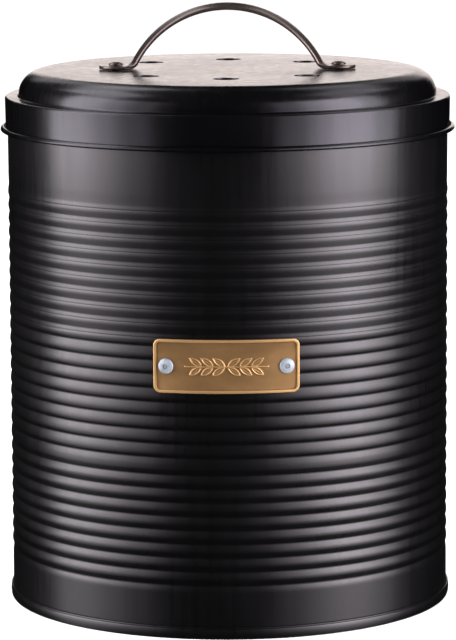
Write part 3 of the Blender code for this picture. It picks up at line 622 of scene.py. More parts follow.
def dress(maker, shader, colour, roughness, height, depth):
    """Links a colour, a roughness and a height, in shares of a depth in metres, to a shader."""
    bump = maker.node("ShaderNodeBump", None, {"Strength": 1.0, "Distance": depth, "Height": height})
    links = {"Base Color": colour, "Roughness": roughness.socket, "Normal": bump.outputs["Normal"]}
    for name, socket in links.items():
        maker.tree.links.new(socket, shader.inputs[name])


def toned(tint, share):
    """A colour made darker or lighter."""
    return tuple(min(1.0, c * share) for c in tint)


def black_coat(name, finish, roughness, shine, glint):
    """Black stoved enamel with a faint orange peel, powder grain and hardly seen patches of wear."""
    material, maker, shader, place = new_material(name, 0.0, roughness)
    shader.inputs["Specular IOR Level"].default_value = shine
    shader.inputs["Specular Tint"].default_value = (*glint, 1.0)
    peel = maker.grain(place, 700.0)
    powder = maker.grain(place, 5200.0, detail=1.0)
    patches = maker.grain(place, 28.0, detail=3.0, roughness=0.6)
    haze = maker.grain(place, 160.0)
    streaks = maker.drawn_grain(place, (380.0, 380.0, 16.0), detail=2.0)
    light = tuple(min(1.0, c * 1.8 + 0.0003) for c in finish.coat)
    colour = maker.blend(haze * 0.5 + powder * 0.5, toned(finish.coat, 0.75), light)
    rough = roughness + (patches - 0.5) * 0.10 + (powder - 0.5) * 0.10 + (streaks - 0.5) * 0.12
    dress(maker, shader, colour, rough, peel * 0.8 + powder * 0.2, depth=0.000010)
    return material


def can_coat(finish):
    """The coat of the can."""
    return black_coat(
        "satin_black_coat", finish, finish.coat_roughness, finish.coat_shine, finish.coat_glint
    )


def lid_coat(finish):
    """The coat of the lid, which shines a little less and bluer than the can's."""
    return black_coat(
        "satin_black_lid_coat", finish, finish.lid_roughness, finish.lid_shine, finish.lid_glint
    )


def aged_brass(finish):
    """Brass brushed along the plate, lacquered, and darkened where it lies low."""
    material, maker, shader, place = new_material("antique_brass", 0.8, 0.4)
    brushed = maker.drawn_grain(place, (60.0, 60.0, 2600.0))
    clouds = maker.drawn_grain(place, (70.0, 70.0, 160.0), roughness=0.55)
    relief = Number(maker, maker.node("ShaderNodeAttribute", {"attribute_name": "relief"}).outputs["Fac"])
    bright = maker.smooth(relief + (clouds - 0.5) * 0.35, 0.2, 1.15)
    colour = maker.blend(bright, finish.patina, finish.brass)
    rough = 0.56 - bright * 0.14 + (brushed - 0.5) * 0.22
    dress(maker, shader, colour, rough, brushed * 0.7 + clouds * 0.3, depth=0.000012)
    return material


def bright_steel(finish):
    """Rivet heads: bright, slightly bluish, tumbled."""
    material, maker, shader, place = new_material("bright_rivet_steel", 0.4, 0.45)
    tumbled = maker.grain(place, 1800.0, detail=3.0, roughness=0.6)
    stains = maker.grain(place, 420.0)
    colour = maker.blend(maker.smooth(stains, 0.25, 0.6), toned(finish.rivet, 0.72), finish.rivet)
    dress(maker, shader, colour, 0.46 + (tumbled - 0.5) * 0.3, tumbled, depth=0.000012)
    return material


def pin_steel(finish):
    """Broken ends of the rivet pins: dull, with the same tumbled grain."""
    material, maker, shader, place = new_material("dull_pin_steel", 0.4, 0.6)
    tumbled = maker.grain(place, 2400.0, detail=3.0, roughness=0.6)
    colour = maker.blend(tumbled, toned(finish.rivet, 0.5), toned(finish.rivet, 0.8))
    dress(maker, shader, colour, 0.6 + (tumbled - 0.5) * 0.3, tumbled, depth=0.000020)
    return material


def zinc_plate(finish):
    """Zinc plated wire, drawn along its length and slightly clouded."""
    material, maker, shader, place = new_material("zinc_plated_wire", 1.0, 0.35)
    clouds = maker.grain(place, 260.0, detail=4.0, roughness=0.6)
    fine = maker.grain(place, 3200.0)
    colour = maker.blend(maker.smooth(clouds, 0.3, 0.65), toned(finish.zinc, 0.66), finish.zinc)
    rough = 0.32 + (fine - 0.5) * 0.2 + (clouds - 0.5) * 0.15
    dress(maker, shader, colour, rough, fine, depth=0.000008)
    return material


def gun_metal(finish):
    """Dark plated strap with faint drawn lines along it and warm cloudy staining."""
    material, maker, shader, place = new_material("gun_metal_plating", 0.85, 0.38)
    drawn = maker.drawn_grain(place, (60.0, 2400.0, 300.0), detail=2.0)
    clouds = maker.grain(place, 120.0, detail=4.0, roughness=0.6)
    pits = maker.grain(place, 2600.0)
    warm = tuple(c * share for c, share in zip(finish.strap, (1.55, 1.42, 1.3)))
    colour = maker.blend(clouds * 0.7 + drawn * 0.3, toned(finish.strap, 0.62), warm)
    rough = 0.28 + (clouds - 0.5) * 0.16 + (pits - 0.5) * 0.1
    dress(maker, shader, colour, rough, drawn * 0.6 + pits * 0.4, depth=0.000010)
    return material


def moulded_plastic(finish):
    """Grey polypropylene with a fine spark-eroded grain and slightly glossier rubbed patches."""
    material, maker, shader, place = new_material("moulded_grey_plastic", 0.0, 0.48)
    texture = maker.grain(place, 1500.0, detail=3.0, roughness=0.6)
    flow = maker.grain(place, 40.0, detail=3.0, roughness=0.55)
    dark, light = toned(finish.plastic, 0.94), toned(finish.plastic, 1.05)
    colour = maker.blend(maker.smooth(flow, 0.25, 0.75), dark, light)
    rough = 0.5 + (texture - 0.5) * 0.18 + (flow - 0.5) * 0.05
    dress(maker, shader, colour, rough, texture, depth=0.000045)
    return material


def charcoal_felt(finish):
    """Carbon-loaded felt: matted fibres that run every way, with grey flecks."""
    material, maker, shader, place = new_material("charcoal_felt", 0.0, 0.95)
    x, y, z = maker.parts(place)
    turned_place = maker.vector((x + y) * 2400.0, (x - y) * 300.0, z * 1400.0)
    slant = maker.grain(turned_place, 1.0, detail=3.0, roughness=0.65)
    along = maker.drawn_grain(place, (260.0, 3400.0, 1400.0), roughness=0.65)
    across = maker.drawn_grain(place, (3400.0, 260.0, 1400.0), roughness=0.65)
    matted = maker.most(along, across, slant)
    flecks = maker.smooth(maker.grain(place, 1900.0, detail=1.0), 0.66, 0.74)
    clumps = maker.grain(place, 220.0, detail=3.0)
    shade = maker.smooth(matted, 0.5, 0.78) * 0.55 + clumps * 0.2 + flecks * 0.5
    colour = maker.blend(shade, finish.felt, toned(finish.felt, 4.2))
    shader.inputs["Sheen Weight"].default_value = 0.25
    shader.inputs["Sheen Roughness"].default_value = 0.6
    dress(maker, shader, colour, 0.98 - flecks * 0.25, matted * 0.7 + clumps * 0.3, depth=0.00035)
    return material


FINISHES = {
    "black_paint": can_coat,
    "lid_paint": lid_coat,
    "brass": aged_brass,
    "pale_steel": bright_steel,
    "pin": pin_steel,
    "zinc": zinc_plate,
    "gun_metal": gun_metal,
    "grey_plastic": moulded_plastic,
    "charcoal": charcoal_felt,
}
made_finishes = {}


def finish_for(look, caddy):
    """One of the finishes, made once."""
    if look not in made_finishes:
        made_finishes[look] = FINISHES[look](caddy.finish)
    return made_finishes[look]


# Pieces


def rib_tree():
    """Presses three groups of ribs into a plain wall, and a welded lap into its back.

    A point's height gives its distance below the last groove over it, as a share of the pitch. From that
    groove the wall rises steeply to the crest, and from the crest it falls to the next groove along a power
    of the distance.
    """
    names = ["Pitch", "Last rib", "Rise", "First groove", "Plain top", "Notch", "Notch place", "Notch width"]
    for group in GROUPS:
        names += [f"{size} of the {group} group" for size in RIB_SIZES]
    names += ["Upper split", "Lower split", "Seam width", "Seam rise"]
    tree, maker, geometry, given = geometry_tree("Ribbed wall", dict.fromkeys(names, "Float"))
    x, y, z = maker.position()
    radius = (x * x + y * y) ** 0.5
    pitch = given["Pitch"]
    offsets = []
    for group in GROUPS:
        top, deep, crest, power = (given[f"{size} of the {group} group"] for size in RIB_SIZES)
        step = (top - z) / pitch
        groove = maker.math("MINIMUM", maker.most(maker.math("FLOOR", step), -1.0), given["Last rib"])
        down = maker.most(step - groove, 0.0)
        inside = groove < given["Last rib"] - 0.5
        high = given["Rise"] * inside if group == "lower" else given["Rise"]
        first = deep * (1 - (groove < -0.5) * (1 - given["First groove"]))
        rise = maker.most(1 - down / crest, 0.0)
        fall = maker.math("MINIMUM", maker.most((down - crest) / (1 - crest), 0.0), 1.0) ** power * inside
        offset = high - rise * rise * (high + first) - fall * (high + deep)
        if group == "upper":
            aside = abs(down - given["Notch place"]) * 2 / given["Notch width"]
            offset = offset - maker.most(1 - aside, 0.0) * given["Notch"]
        offsets.append(offset)
    upper = z > given["Upper split"]
    lower = z < given["Lower split"]
    ribs = upper * offsets[0] + (1 - upper - lower) * offsets[1] + lower * offsets[2]
    above = (z - given["Top of the upper group"]) / pitch
    below = (given["Top of the lower group"] - z) / pitch - given["Last rib"]
    plain = maker.smooth(maker.most(above, below), 1.0, 2.0)
    half = given["Seam width"] / 2
    on_seam = maker.smooth(abs(x), half * 0.75, half, 1.0, 0.0) * (y > 0.0)
    fade = maker.smooth(z, given["Plain top"] - SEAM_FADE, given["Plain top"], 1.0, 0.0)
    scale = 1 + (ribs * (1 - plain) + on_seam * fade * given["Seam rise"]) / radius
    close_tree(maker, maker.moved(geometry, x * scale, y * scale, z), given)
    return tree


def wall_rows(can, at, steps, notch=None):
    """Heights of the wall's rows, from the top down: so many in each rib, one of them in the groove.

    With a notch, given as the shares of a pitch that it starts and ends at, the upper ribs have rows of their
    own in it.
    """
    even = [i / steps for i in range(steps)]
    upper = even
    if notch:
        start, end = notch
        clear = [row for row in even if row < start - NOTCH_MARGIN or row > end + NOTCH_MARGIN]
        upper = sorted(clear + [start + (end - start) * i / 4 for i in range(5)])
    rows = []
    limits = (at.group_tops[0] + 2 * at.pitch, *at.group_splits, at.last_groove - at.pitch)
    for shares, top, high, low in zip((upper, even, even), at.group_tops, limits, limits[1:]):
        heights = [top - at.pitch * (rib + row) for rib in range(-2, can.ribs_in_group) for row in shares]
        heights.append(top - at.pitch * can.ribs_in_group)
        near = at.pitch / steps / 2
        rows += [high] + [height for height in heights if low + near < height < high - near]
    return rows + [limits[-1]]


class CaddyCanWall(bpy.types.Operator):
    """Adds the ribbed wall with its rolled rim"""

    bl_idname = "caddy.can_wall"
    bl_label = "Ribbed wall"
    bl_options = {"REGISTER", "UNDO"}

    def execute(self, context):
        caddy = context.scene.caddy
        at = places(caddy)
        can = caddy.can
        outer, inner = can.wall_radius, can.wall_radius - can.sheet
        low = can.sheet + can.seat_gap
        curl = (outer - can.rim_curl, can.wall_top - can.rim_curl)
        outline = arc(curl, can.rim_curl, 240, 0, 20)
        notch = (can.notch_place - can.notch_width / 2, can.notch_place + can.notch_width / 2)
        outline += [(outer, row) for row in wall_rows(can, at, 12, notch)] + [(outer, low), (inner, low)]
        outline += [(inner, row) for row in reversed(wall_rows(can, at, 3))]
        outline += arc(curl, can.rim_curl - can.sheet, 0, 240, 14)
        half = can.seam_width / 2 / outer
        seam = [math.pi / 2 + half * place for place in SEAM_SHARES]
        even = [math.tau * i / AROUND for i in range(AROUND)]
        angles = sorted([a for a in even if abs(a - math.pi / 2) > half * 1.6] + seam)
        wall = new_object("ribbed_wall", turned(outline, AROUND, angles))
        values = {
            "Pitch": at.pitch,
            "Last rib": can.ribs_in_group - 1.0,
            "Rise": can.rib_crest,
            "First groove": can.first_groove,
            "Notch": can.notch_depth,
            "Notch place": can.notch_place,
            "Notch width": can.notch_width,
            "Plain top": curl[1],
            "Upper split": at.group_splits[0],
            "Lower split": at.group_splits[1],
            "Seam width": can.seam_width,
            "Seam rise": can.seam_rise,
            "Material": finish_for("black_paint", caddy),
        }
        for i, group in enumerate(GROUPS):
            sizes = (at.group_tops[i], can.rib_groove[i], can.rib_top[i], can.rib_power[i])
            values |= {f"{name} of the {group} group": size for name, size in zip(RIB_SIZES, sizes)}
        grow(wall, rib_tree(), values)
        finish_piece(wall, values["Material"], "can", ["can_wall"], crease=60)
        return {"FINISHED"}


class CaddyBase(bpy.types.Operator):
    """Adds the recessed base with its folded edge"""

    bl_idname = "caddy.base"
    bl_label = "Base"
    bl_options = {"REGISTER", "UNDO"}

    def execute(self, context):
        caddy = context.scene.caddy
        at = places(caddy)
        can, base = caddy.can, caddy.base
        fold_in = can.wall_radius + can.seat_gap
        fold_out = fold_in + can.sheet
        chuck_out = can.wall_radius - can.sheet - can.seat_gap
        chuck_in = chuck_out - can.sheet
        half, corner = can.sheet / 2, base.seam_corner
        lip = arc((fold_out - half, base.seam_height - half), half, 180, 0, 8)
        crease_half = 1.5 * base.seam_crease
        crease = lip[-1][1] - crease_half - half
        outside = [(fold_out, crease + crease_half), (fold_out - base.seam_crease, crease)]
        for i in range(11):
            height = crease - crease_half
            height += (corner - height) * i / 11
            outside.append((fold_out + base.seam_bulge * math.sin(math.pi * i / 11), height))
        outside += arc((fold_out - corner, corner), corner, 0, -90, 8)
        inside = arc((chuck_in + corner, corner), corner, 270, 180, 8)
        bead = []
        reach = base.bead_width / 2 + base.bead_slope
        for side, shares in ((1, range(13)), (-1, range(12, -1, -1))):
            for part in (i / 12 for i in shares):
                rise = base.bead_rise * (1 - math.cos(math.pi * part)) / 2
                bead.append((at.panel_bead + side * (reach - base.bead_slope * part), rise))
        top, low = base.recess + can.sheet, base.recess
        over = [(r, top + rise) for r, rise in reversed(bead)]
        over += arc((chuck_out - PANEL_CORNER, top - PANEL_CORNER), PANEL_CORNER, 90, 0, 6)
        under = [(chuck_in, low - 1.5 * PANEL_BEND)]
        under += arc((chuck_in - PANEL_BEND, low - PANEL_BEND), PANEL_BEND, 0, 90, 4)
        under += [(r, low + rise) for r, rise in bead]
        channel = [(chuck_out, can.sheet), (fold_in, can.sheet)]
        outline = [(0, top)] + over + channel + lip + outside + inside + under + [(0, low)]
        pan = new_object("folded_base", turned(outline, AROUND))
        finish_piece(pan, finish_for("black_paint", caddy), "can", ["base_pan"])
        return {"FINISHED"}


def plate_tree():
    """Presses a sprig of outlined leaves into a flat plate, and wraps the plate to the can.

    The flat plate lies in X-Z, and its Y is how far a point stands out of the plate's back. The leaves stand
    in pairs along a stem and are mirrored about the plate's middle, so one leaf serves for all of them. An
    attribute called relief says how high a point lies, so that the brass can darken where it lies low.
    """
    names = ("Back radius", "Middle height", "Field height", "Leaf length", "Leaf width", "Leaf pitch")
    sizes = dict.fromkeys((*names, "Leaf pairs", "Leaf rise", "Line width", "Rim rise"), "Float")
    tree, maker, geometry, given = geometry_tree("Pressed and wrapped plate", sizes)
    x, y, z = maker.position()
    pitch, line, size = given["Leaf pitch"], given["Line width"], given["Leaf length"]
    across = abs(x)
    up = abs(z - given["Middle height"])
    number_along = maker.math("FLOOR", (across - size * 0.12) / pitch)
    nearest = maker.math("MINIMUM", maker.most(number_along, 0.0), given["Leaf pairs"] - 1)
    ridges, fills = [], []
    for shift in (0.0, -1.0):
        index = maker.most(nearest + shift, 0.0)
        dx = across - (index + 0.5) * pitch - size * 0.12
        dz = up - size * 0.32
        along = dx * math.cos(LEAF_LEAN) + dz * math.sin(LEAF_LEAN)
        aside = abs(dz * math.cos(LEAF_LEAN) - dx * math.sin(LEAF_LEAN))
        tip = abs(along) / (size / 2)
        edge = (1 - tip * tip) * given["Leaf width"] / 2
        outline = maker.smooth(abs(aside - edge), line * 0.35, line * 1.15, 1.0, 0.0)
        near = maker.smooth(tip, 1.0, 1.12, 1.0, 0.0)
        vein = maker.smooth(aside, line * 0.1, line * 0.7, 0.7, 0.0) * maker.smooth(tip, 0.72, 0.86, 1.0, 0.0)
        ridges.append(maker.most(outline * near, vein))
        fills.append(maker.smooth(aside - edge, line * -0.5, line * 0.5, 0.35, 0.0) * near)
    reach = given["Leaf pairs"] * pitch + size * 0.55
    stem_end = maker.smooth(across, reach * 0.97, reach, 1.0, 0.0)
    raised = maker.most(*ridges, maker.smooth(up, line * 0.35, line * 1.1, 1.0, 0.0) * stem_end)
    on_field = maker.smooth(abs(y - given["Field height"]), MERGE_REACH, 2 * MERGE_REACH, 1.0, 0.0)
    sprig = on_field * maker.smooth(across, reach + size * 0.3, reach + size * 0.4, 1.0, 0.0)
    over = (y - given["Field height"]) / given["Rim rise"]
    foot = maker.smooth(over, 0.0, 0.1) * maker.smooth(over, 0.25, 0.6, 1.0, 0.0)
    relief = 0.42 + raised * sprig * 0.5 + maker.smooth(over, 0.0, 0.8, 0.0, 0.45) - foot * 0.4
    settings = {"data_type": "FLOAT", "domain": "POINT"}
    values = {"Geometry": geometry, "Name": "relief", "Value": relief}
    stored = maker.node("GeometryNodeStoreNamedAttribute", settings, values).outputs[0]
    out = given["Back radius"] + y + maker.most(raised, *fills) * sprig * given["Leaf rise"]
    depth = maker.math("SQRT", out * out - x * x)
    close_tree(maker, maker.moved(stored, x, 0 - depth, z), given)
    return tree


def inset_ring(plate, inset, height):
    """The plate's outline, inset, at a height over the plate's back."""
    corner = max(plate.corner - inset, LEAST_CORNER)
    right, top = plate.width / 2 - inset - corner, plate.height / 2 - inset - corner
    points = []
    for quarter, (x, z) in enumerate(((right, top), (-right, top), (-right, -top), (right, -top))):
        centre = (x, plate.middle + z)
        points += arc(centre, corner, 90 * quarter, 90 * quarter + 90, 8)
    return [(x, height, z) for x, z in points]


class CaddyPlate(bpy.types.Operator):
    """Adds the wrapped brass plate with its raised rim and pressed sprig"""

    bl_idname = "caddy.plate"
    bl_label = "Name plate"
    bl_options = {"REGISTER", "UNDO"}

    def execute(self, context):
        caddy = context.scene.caddy
        at = places(caddy)
        plate, rivet = caddy.plate, caddy.rivet
        field = plate.thickness
        front = field + plate.rim_rise
        edge = plate.rim_width / 5
        profile = [(edge / 3, 0), (0, edge / 3)] + arc((edge, front - edge), edge, 180, 90, 6)
        for part in (i / 8 for i in range(9)):
            fall = (1 - math.cos(math.pi * part)) / 2
            inset = plate.rim_width * (RIM_TOP_SHARE + (1 - RIM_TOP_SHARE) * part)
            profile.append((inset, front - plate.rim_rise * fall))
        rings = [inset_ring(plate, inset, height) for inset, height in profile]
        bm = bmesh.new()
        made = [[bm.verts.new(place) for place in ring] for ring in rings]
        for first, second in zip(made, made[1:]):
            join(bm, first, second)
        bm.faces.new(made[0])
        bm.faces.new(made[-1])
        self.cut_in_strips(bm, (1, 0, 0), 0.0, plate.width / 2, WRAP_PITCH)
        reach = plate.leaf_pitch * plate.leaf_pairs + plate.leaf_length * 0.75
        self.cut_in_strips(bm, (1, 0, 0), 0.0, reach, LEAF_GRID)
        self.cut_in_strips(bm, (0, 0, 1), plate.middle, plate.leaf_length * 0.81, LEAF_GRID)
        bmesh.ops.recalc_face_normals(bm, faces=bm.faces)
        obj = new_object("pressed_plate", bm)
        values = {
            "Back radius": at.plate_back,
            "Middle height": plate.middle,
            "Field height": field,
            "Leaf length": plate.leaf_length,
            "Leaf width": plate.leaf_width,
            "Leaf pitch": plate.leaf_pitch,
            "Leaf pairs": float(plate.leaf_pairs),
            "Leaf rise": plate.leaf_rise,
            "Line width": plate.line_width,
            "Rim rise": plate.rim_rise,
            "Material": finish_for("brass", caddy),
        }
        grow(obj, plate_tree(), values)
        for side in (-1, 1):
            radii = (at.plate_back - CUT_OVERRUN, at.plate_face + CUT_OVERRUN)
            start, end = (plate_place(caddy, side, radius) for radius in radii)
            combine(obj, rod(start, end, rivet.shank_radius + rivet.fit, AROUND_RIVET), "DIFFERENCE")
        finish_piece(obj, values["Material"], "can", ["name_plate"])
        return {"FINISHED"}

    def cut_in_strips(self, bm, normal, middle, reach, pitch):
        """Cuts faces along evenly spaced planes, so that they can follow a curve."""
        most = int(reach / pitch)
        for i in range(-most, most + 1):
            where = Vector(normal) * (middle + i * pitch)
            geometry = bm.verts[:] + bm.edges[:] + bm.faces[:]
            bmesh.ops.bisect_plane(bm, geom=geometry, dist=MERGE_REACH / 100, plane_co=where, plane_no=normal)


def plate_place(caddy, side, radius):
    """The place of the left (-1) or right (1) plate rivet at a distance from the can's axis."""
    reach = caddy.plate.width / 2 - caddy.plate.rivet_inset
    angle = math.asin(side * reach / caddy.can.wall_radius)
    return Vector((radius * math.sin(angle), -radius * math.cos(angle), caddy.plate.middle))


def pair_tree(name, radial):
    """Sets a rivet at both ends of a line. Radial rivets point away from the can's axis."""
    tree, maker, geometry, given = geometry_tree(name, {"Start": "Vector", "End": "Vector"})
    values = {"Count": 2, "Start Location": given["Start"], "Offset": given["End"]}
    points = maker.node("GeometryNodeMeshLine", {"mode": "END_POINTS"}, values).outputs[0]
    values = {"Points": points, "Instance": geometry}
    if radial:
        x, y, _ = maker.position()
        outward = maker.vector(x, y, 0.0)
        turn = maker.node("FunctionNodeAlignRotationToVector", {"axis": "Z"}, {"Vector": outward})
        values["Rotation"] = turn.outputs[0]
    close_tree(maker, maker.node("GeometryNodeInstanceOnPoints", None, values).outputs[0], given)
    return tree


def rivet_head(rivet, inner_radius, steps):
    """A domed head, from its middle or its bore out to its edge, and back under it to the shank."""
    first = math.degrees(math.acos(inner_radius / rivet.head_radius))
    over = arc((0, 0), (rivet.head_radius, rivet.head_rise), first, 0, steps)
    return over + [(rivet.head_radius * 0.97, -HEAD_EDGE), (rivet.shank_radius, -HEAD_EDGE)]


class CaddyPlateRivets(bpy.types.Operator):
    """Adds the blind rivets that hold the plate, and the pins left in them"""

    bl_idname = "caddy.plate_rivets"
    bl_label = "Plate rivets"
    bl_options = {"REGISTER", "UNDO"}

    def execute(self, context):
        caddy = context.scene.caddy
        at = places(caddy)
        can, rivet = caddy.can, caddy.rivet
        seat = at.plate_face + can.seat_gap
        grip = seat - (can.wall_radius - max(can.rib_groove) - can.sheet - can.seat_gap)
        shank, stem = rivet.shank_radius, rivet.mandrel_radius
        bore = stem + rivet.mandrel_fit
        half = rivet.blind_tail_length / 2
        tail_end = -grip - 2 * half
        swell = arc((shank, -grip - half), (rivet.blind_tail_radius - shank, half), 90, -90, 12)
        body = rivet_head(rivet, bore, 14) + swell + [(shank, tail_end), (bore, tail_end)]
        knob_top = tail_end - can.seat_gap
        knob_low = knob_top - rivet.knob_length
        tip = rivet.head_rise - rivet.mandrel_sink
        pin = [(0, tip - PIN_DISH), (stem * 0.45, tip), (stem, tip - 1.2 * PIN_DISH), (stem, knob_top)]
        pin += [(rivet.knob_radius, knob_top), (rivet.knob_radius, (knob_top + knob_low) / 2)]
        pin += [(stem, knob_low), (0, knob_low)]
        start, end = (plate_place(caddy, side, seat) for side in (-1, 1))
        tree = pair_tree("Plate rivets", radial=True)
        for name, outline, slot, look, word in (
            ("plate_blind_rivets", body, "pale_steel", "pale_steel", ""),
            ("plate_rivet_pins", pin, "zinc", "pin", "_mandrel"),
        ):
            obj = new_object(name, turned(outline, AROUND_RIVET))
            material = finish_for(look, caddy)
            grow(obj, tree, {"Start": start, "End": end, "Material": material})
            nodes = [f"plate_rivet_{side}{word}" for side in ("left", "right")]
            finish_piece(obj, material, "can", nodes)
        return {"FINISHED"}


class CaddyBucket(bpy.types.Operator):
    """Adds the moulded bucket with its flange, shelf, ears and foot"""

    bl_idname = "caddy.bucket"
    bl_label = "Bucket"
    bl_options = {"REGISTER", "UNDO"}

    def execute(self, context):
        caddy = context.scene.caddy
        at = places(caddy)
        can, bucket = caddy.can, caddy.bucket
        flange = can.wall_radius - bucket.flange_inset
        outer_mouth = at.mouth + bucket.wall
        bottom = caddy.base.recess + can.sheet + bucket.clearance
        floor = bottom + bucket.foot_depth
        lower_out = at.bucket_lower + bucket.wall
        edge, lead, nick = bucket.flange_thickness / 2, BUCKET_CORNER, FOOT_CORNER
        outside = arc((at.mouth + lead, at.flange_top - lead), lead, 180, 90, 5)
        outside += arc((flange - edge, at.flange_low + edge), edge, 90, -90, 8)
        outside += [(outer_mouth, at.flange_low), (outer_mouth, at.shelf_top - bucket.wall + lead)]
        outside += arc((outer_mouth - lead, at.shelf_top - bucket.wall + lead), lead, 0, -60, 4)[1:]
        outside += [(at.shelf + bucket.wall, at.shelf_top - 2 * bucket.wall)]
        outside += arc((lower_out - bucket.corner, floor + bucket.corner), bucket.corner, 0, -90, 10)
        foot_out, foot_in = (at.bucket_foot + side * bucket.foot_width / 2 for side in (1, -1))
        foot = [(foot_out, floor), (foot_out, bottom + nick), (foot_out - nick, bottom)]
        foot += [(foot_in + nick, bottom), (foot_in, bottom + nick), (foot_in, floor), (0, floor)]
        inner = bucket.corner - bucket.wall
        inside = [(0, floor + bucket.wall)]
        inside += arc((at.bucket_lower - inner, floor + bucket.corner), inner, -90, 0, 10)
        inside += arc((at.shelf + lead, at.shelf_top - lead), lead, 180, 90, 5)
        inside += arc((at.mouth - lead, at.shelf_top + lead), lead, -90, 0, 5)
        obj = new_object("moulded_bucket", turned(inside + outside + foot, AROUND))
        for side in (-1, 1):
            reach = (at.mouth - bucket.ear_length, at.mouth + bucket.wall / 2)
            ear = [(side * x, 0, at.bail_height) for x in reach]
            combine(obj, rod(*ear, at.ear, AROUND_RIVET), "UNION")
            hole = [(side * x, 0, at.bail_height) for x in (reach[0] - CUT_OVERRUN, reach[1] + CUT_OVERRUN)]
            combine(obj, rod(*hole, bucket.wire_radius + bucket.wire_fit, AROUND_RIVET), "DIFFERENCE")
        finish_piece(obj, finish_for("grey_plastic", caddy), "bucket", ["liner_bucket"])
        return {"FINISHED"}


def bail_point(at, bend, degrees):
    """A point of the folded bail's bow, from one side (0 or 180 degrees) to its middle (90 degrees)."""
    angle = math.radians(degrees)
    reach = bend + (at.bail_reach - bend) * math.sin(angle)
    return Vector((at.bail_half_width * math.cos(angle), reach, at.bail_height))


def wire_tree():
    """A round wire along a path of points."""
    tree, maker, geometry, given = geometry_tree("Wire along a path", {"Radius": "Float", "Around": "Int"})
    path = maker.node("GeometryNodeMeshToCurve", None, {0: geometry}).outputs[0]
    values = {"Resolution": given["Around"], "Radius": given["Radius"]}
    section = maker.node("GeometryNodeCurvePrimitiveCircle", {"mode": "RADIUS"}, values).outputs[0]
    values = {"Curve": path, "Profile Curve": section, "Fill Caps": True}
    close_tree(maker, maker.node("GeometryNodeCurveToMesh", None, values).outputs[0], given)
    return tree


class CaddyBail(bpy.types.Operator):
    """Adds the bucket's wire bail and its moulded grip"""

    bl_idname = "caddy.bail"
    bl_label = "Bail"
    bl_options = {"REGISTER", "UNDO"}

    def execute(self, context):
        caddy = context.scene.caddy
        at = places(caddy)
        bucket = caddy.bucket
        bend = bucket.wire_bend
        end = at.mouth + bucket.wall - bucket.wire_margin
        corner = arc((at.bail_half_width + bend, bend), bend, 270, 180, 10)
        half = [Vector((end, 0, at.bail_height))] + [Vector((x, y, at.bail_height)) for x, y in corner[:-1]]
        bow = [bail_point(at, bend, 180 * i / 96) for i in range(97)]
        path = half + bow + [Vector((-p.x, p.y, p.z)) for p in reversed(half)]
        bm = bmesh.new()
        dots = [bm.verts.new(place) for place in path]
        for pair in zip(dots, dots[1:]):
            bm.edges.new(pair)
        wire = new_object("bail_wire", bm)
        zinc = finish_for("zinc", caddy)
        grow(wire, wire_tree(), {"Radius": bucket.wire_radius, "Around": 20, "Material": zinc})
        finish_piece(wire, zinc, "bail", ["bucket_bail"], crease=50)
        grip = new_object("bail_grip_moulding", self.grip(caddy, at))
        plastic = finish_for("grey_plastic", caddy)
        finish_piece(grip, plastic, "bail", ["bail_grip"], crease=50)
        return {"FINISHED"}

    def grip(self, caddy, at):
        """A tube round the bow's middle, with rounded ends and shallow grooves for the fingers."""
        bucket = caddy.bucket
        covered = math.degrees(math.asin(bucket.grip_half / at.bail_half_width))
        steps, around = 120, 32
        bore = bucket.wire_radius + caddy.can.seat_gap
        thin = bore + GRIP_END_WALL
        outer, inner = [], []
        for i in range(steps + 1):
            share_along = 2 * i / steps - 1
            place = bail_point(at, bucket.wire_bend, 90 + covered * share_along)
            ahead = bail_point(at, bucket.wire_bend, 90 + covered * share_along + 0.1) - place
            sideways = ahead.normalized().cross(Vector((0, 0, 1)))
            rounding = min(1.0, (1 - abs(share_along)) * bucket.grip_half / GRIP_ROUNDING)
            wave = 0.5 - 0.5 * math.cos(math.tau * (share_along + 1) * GRIP_WAVES)
            radius = at.grip - bucket.grip_groove * wave
            radius = thin + (radius - thin) * math.sqrt(1 - (1 - rounding) ** 2)
            for size, rings in ((radius, outer), (bore, inner)):
                turn = [math.tau * k / around for k in range(around)]
                ways = [sideways * math.cos(a) + Vector((0, 0, 1)) * math.sin(a) for a in turn]
                rings.append([place + way * size for way in ways])
        return joined_rings(outer + inner[::-1], ring_of_rings=True)


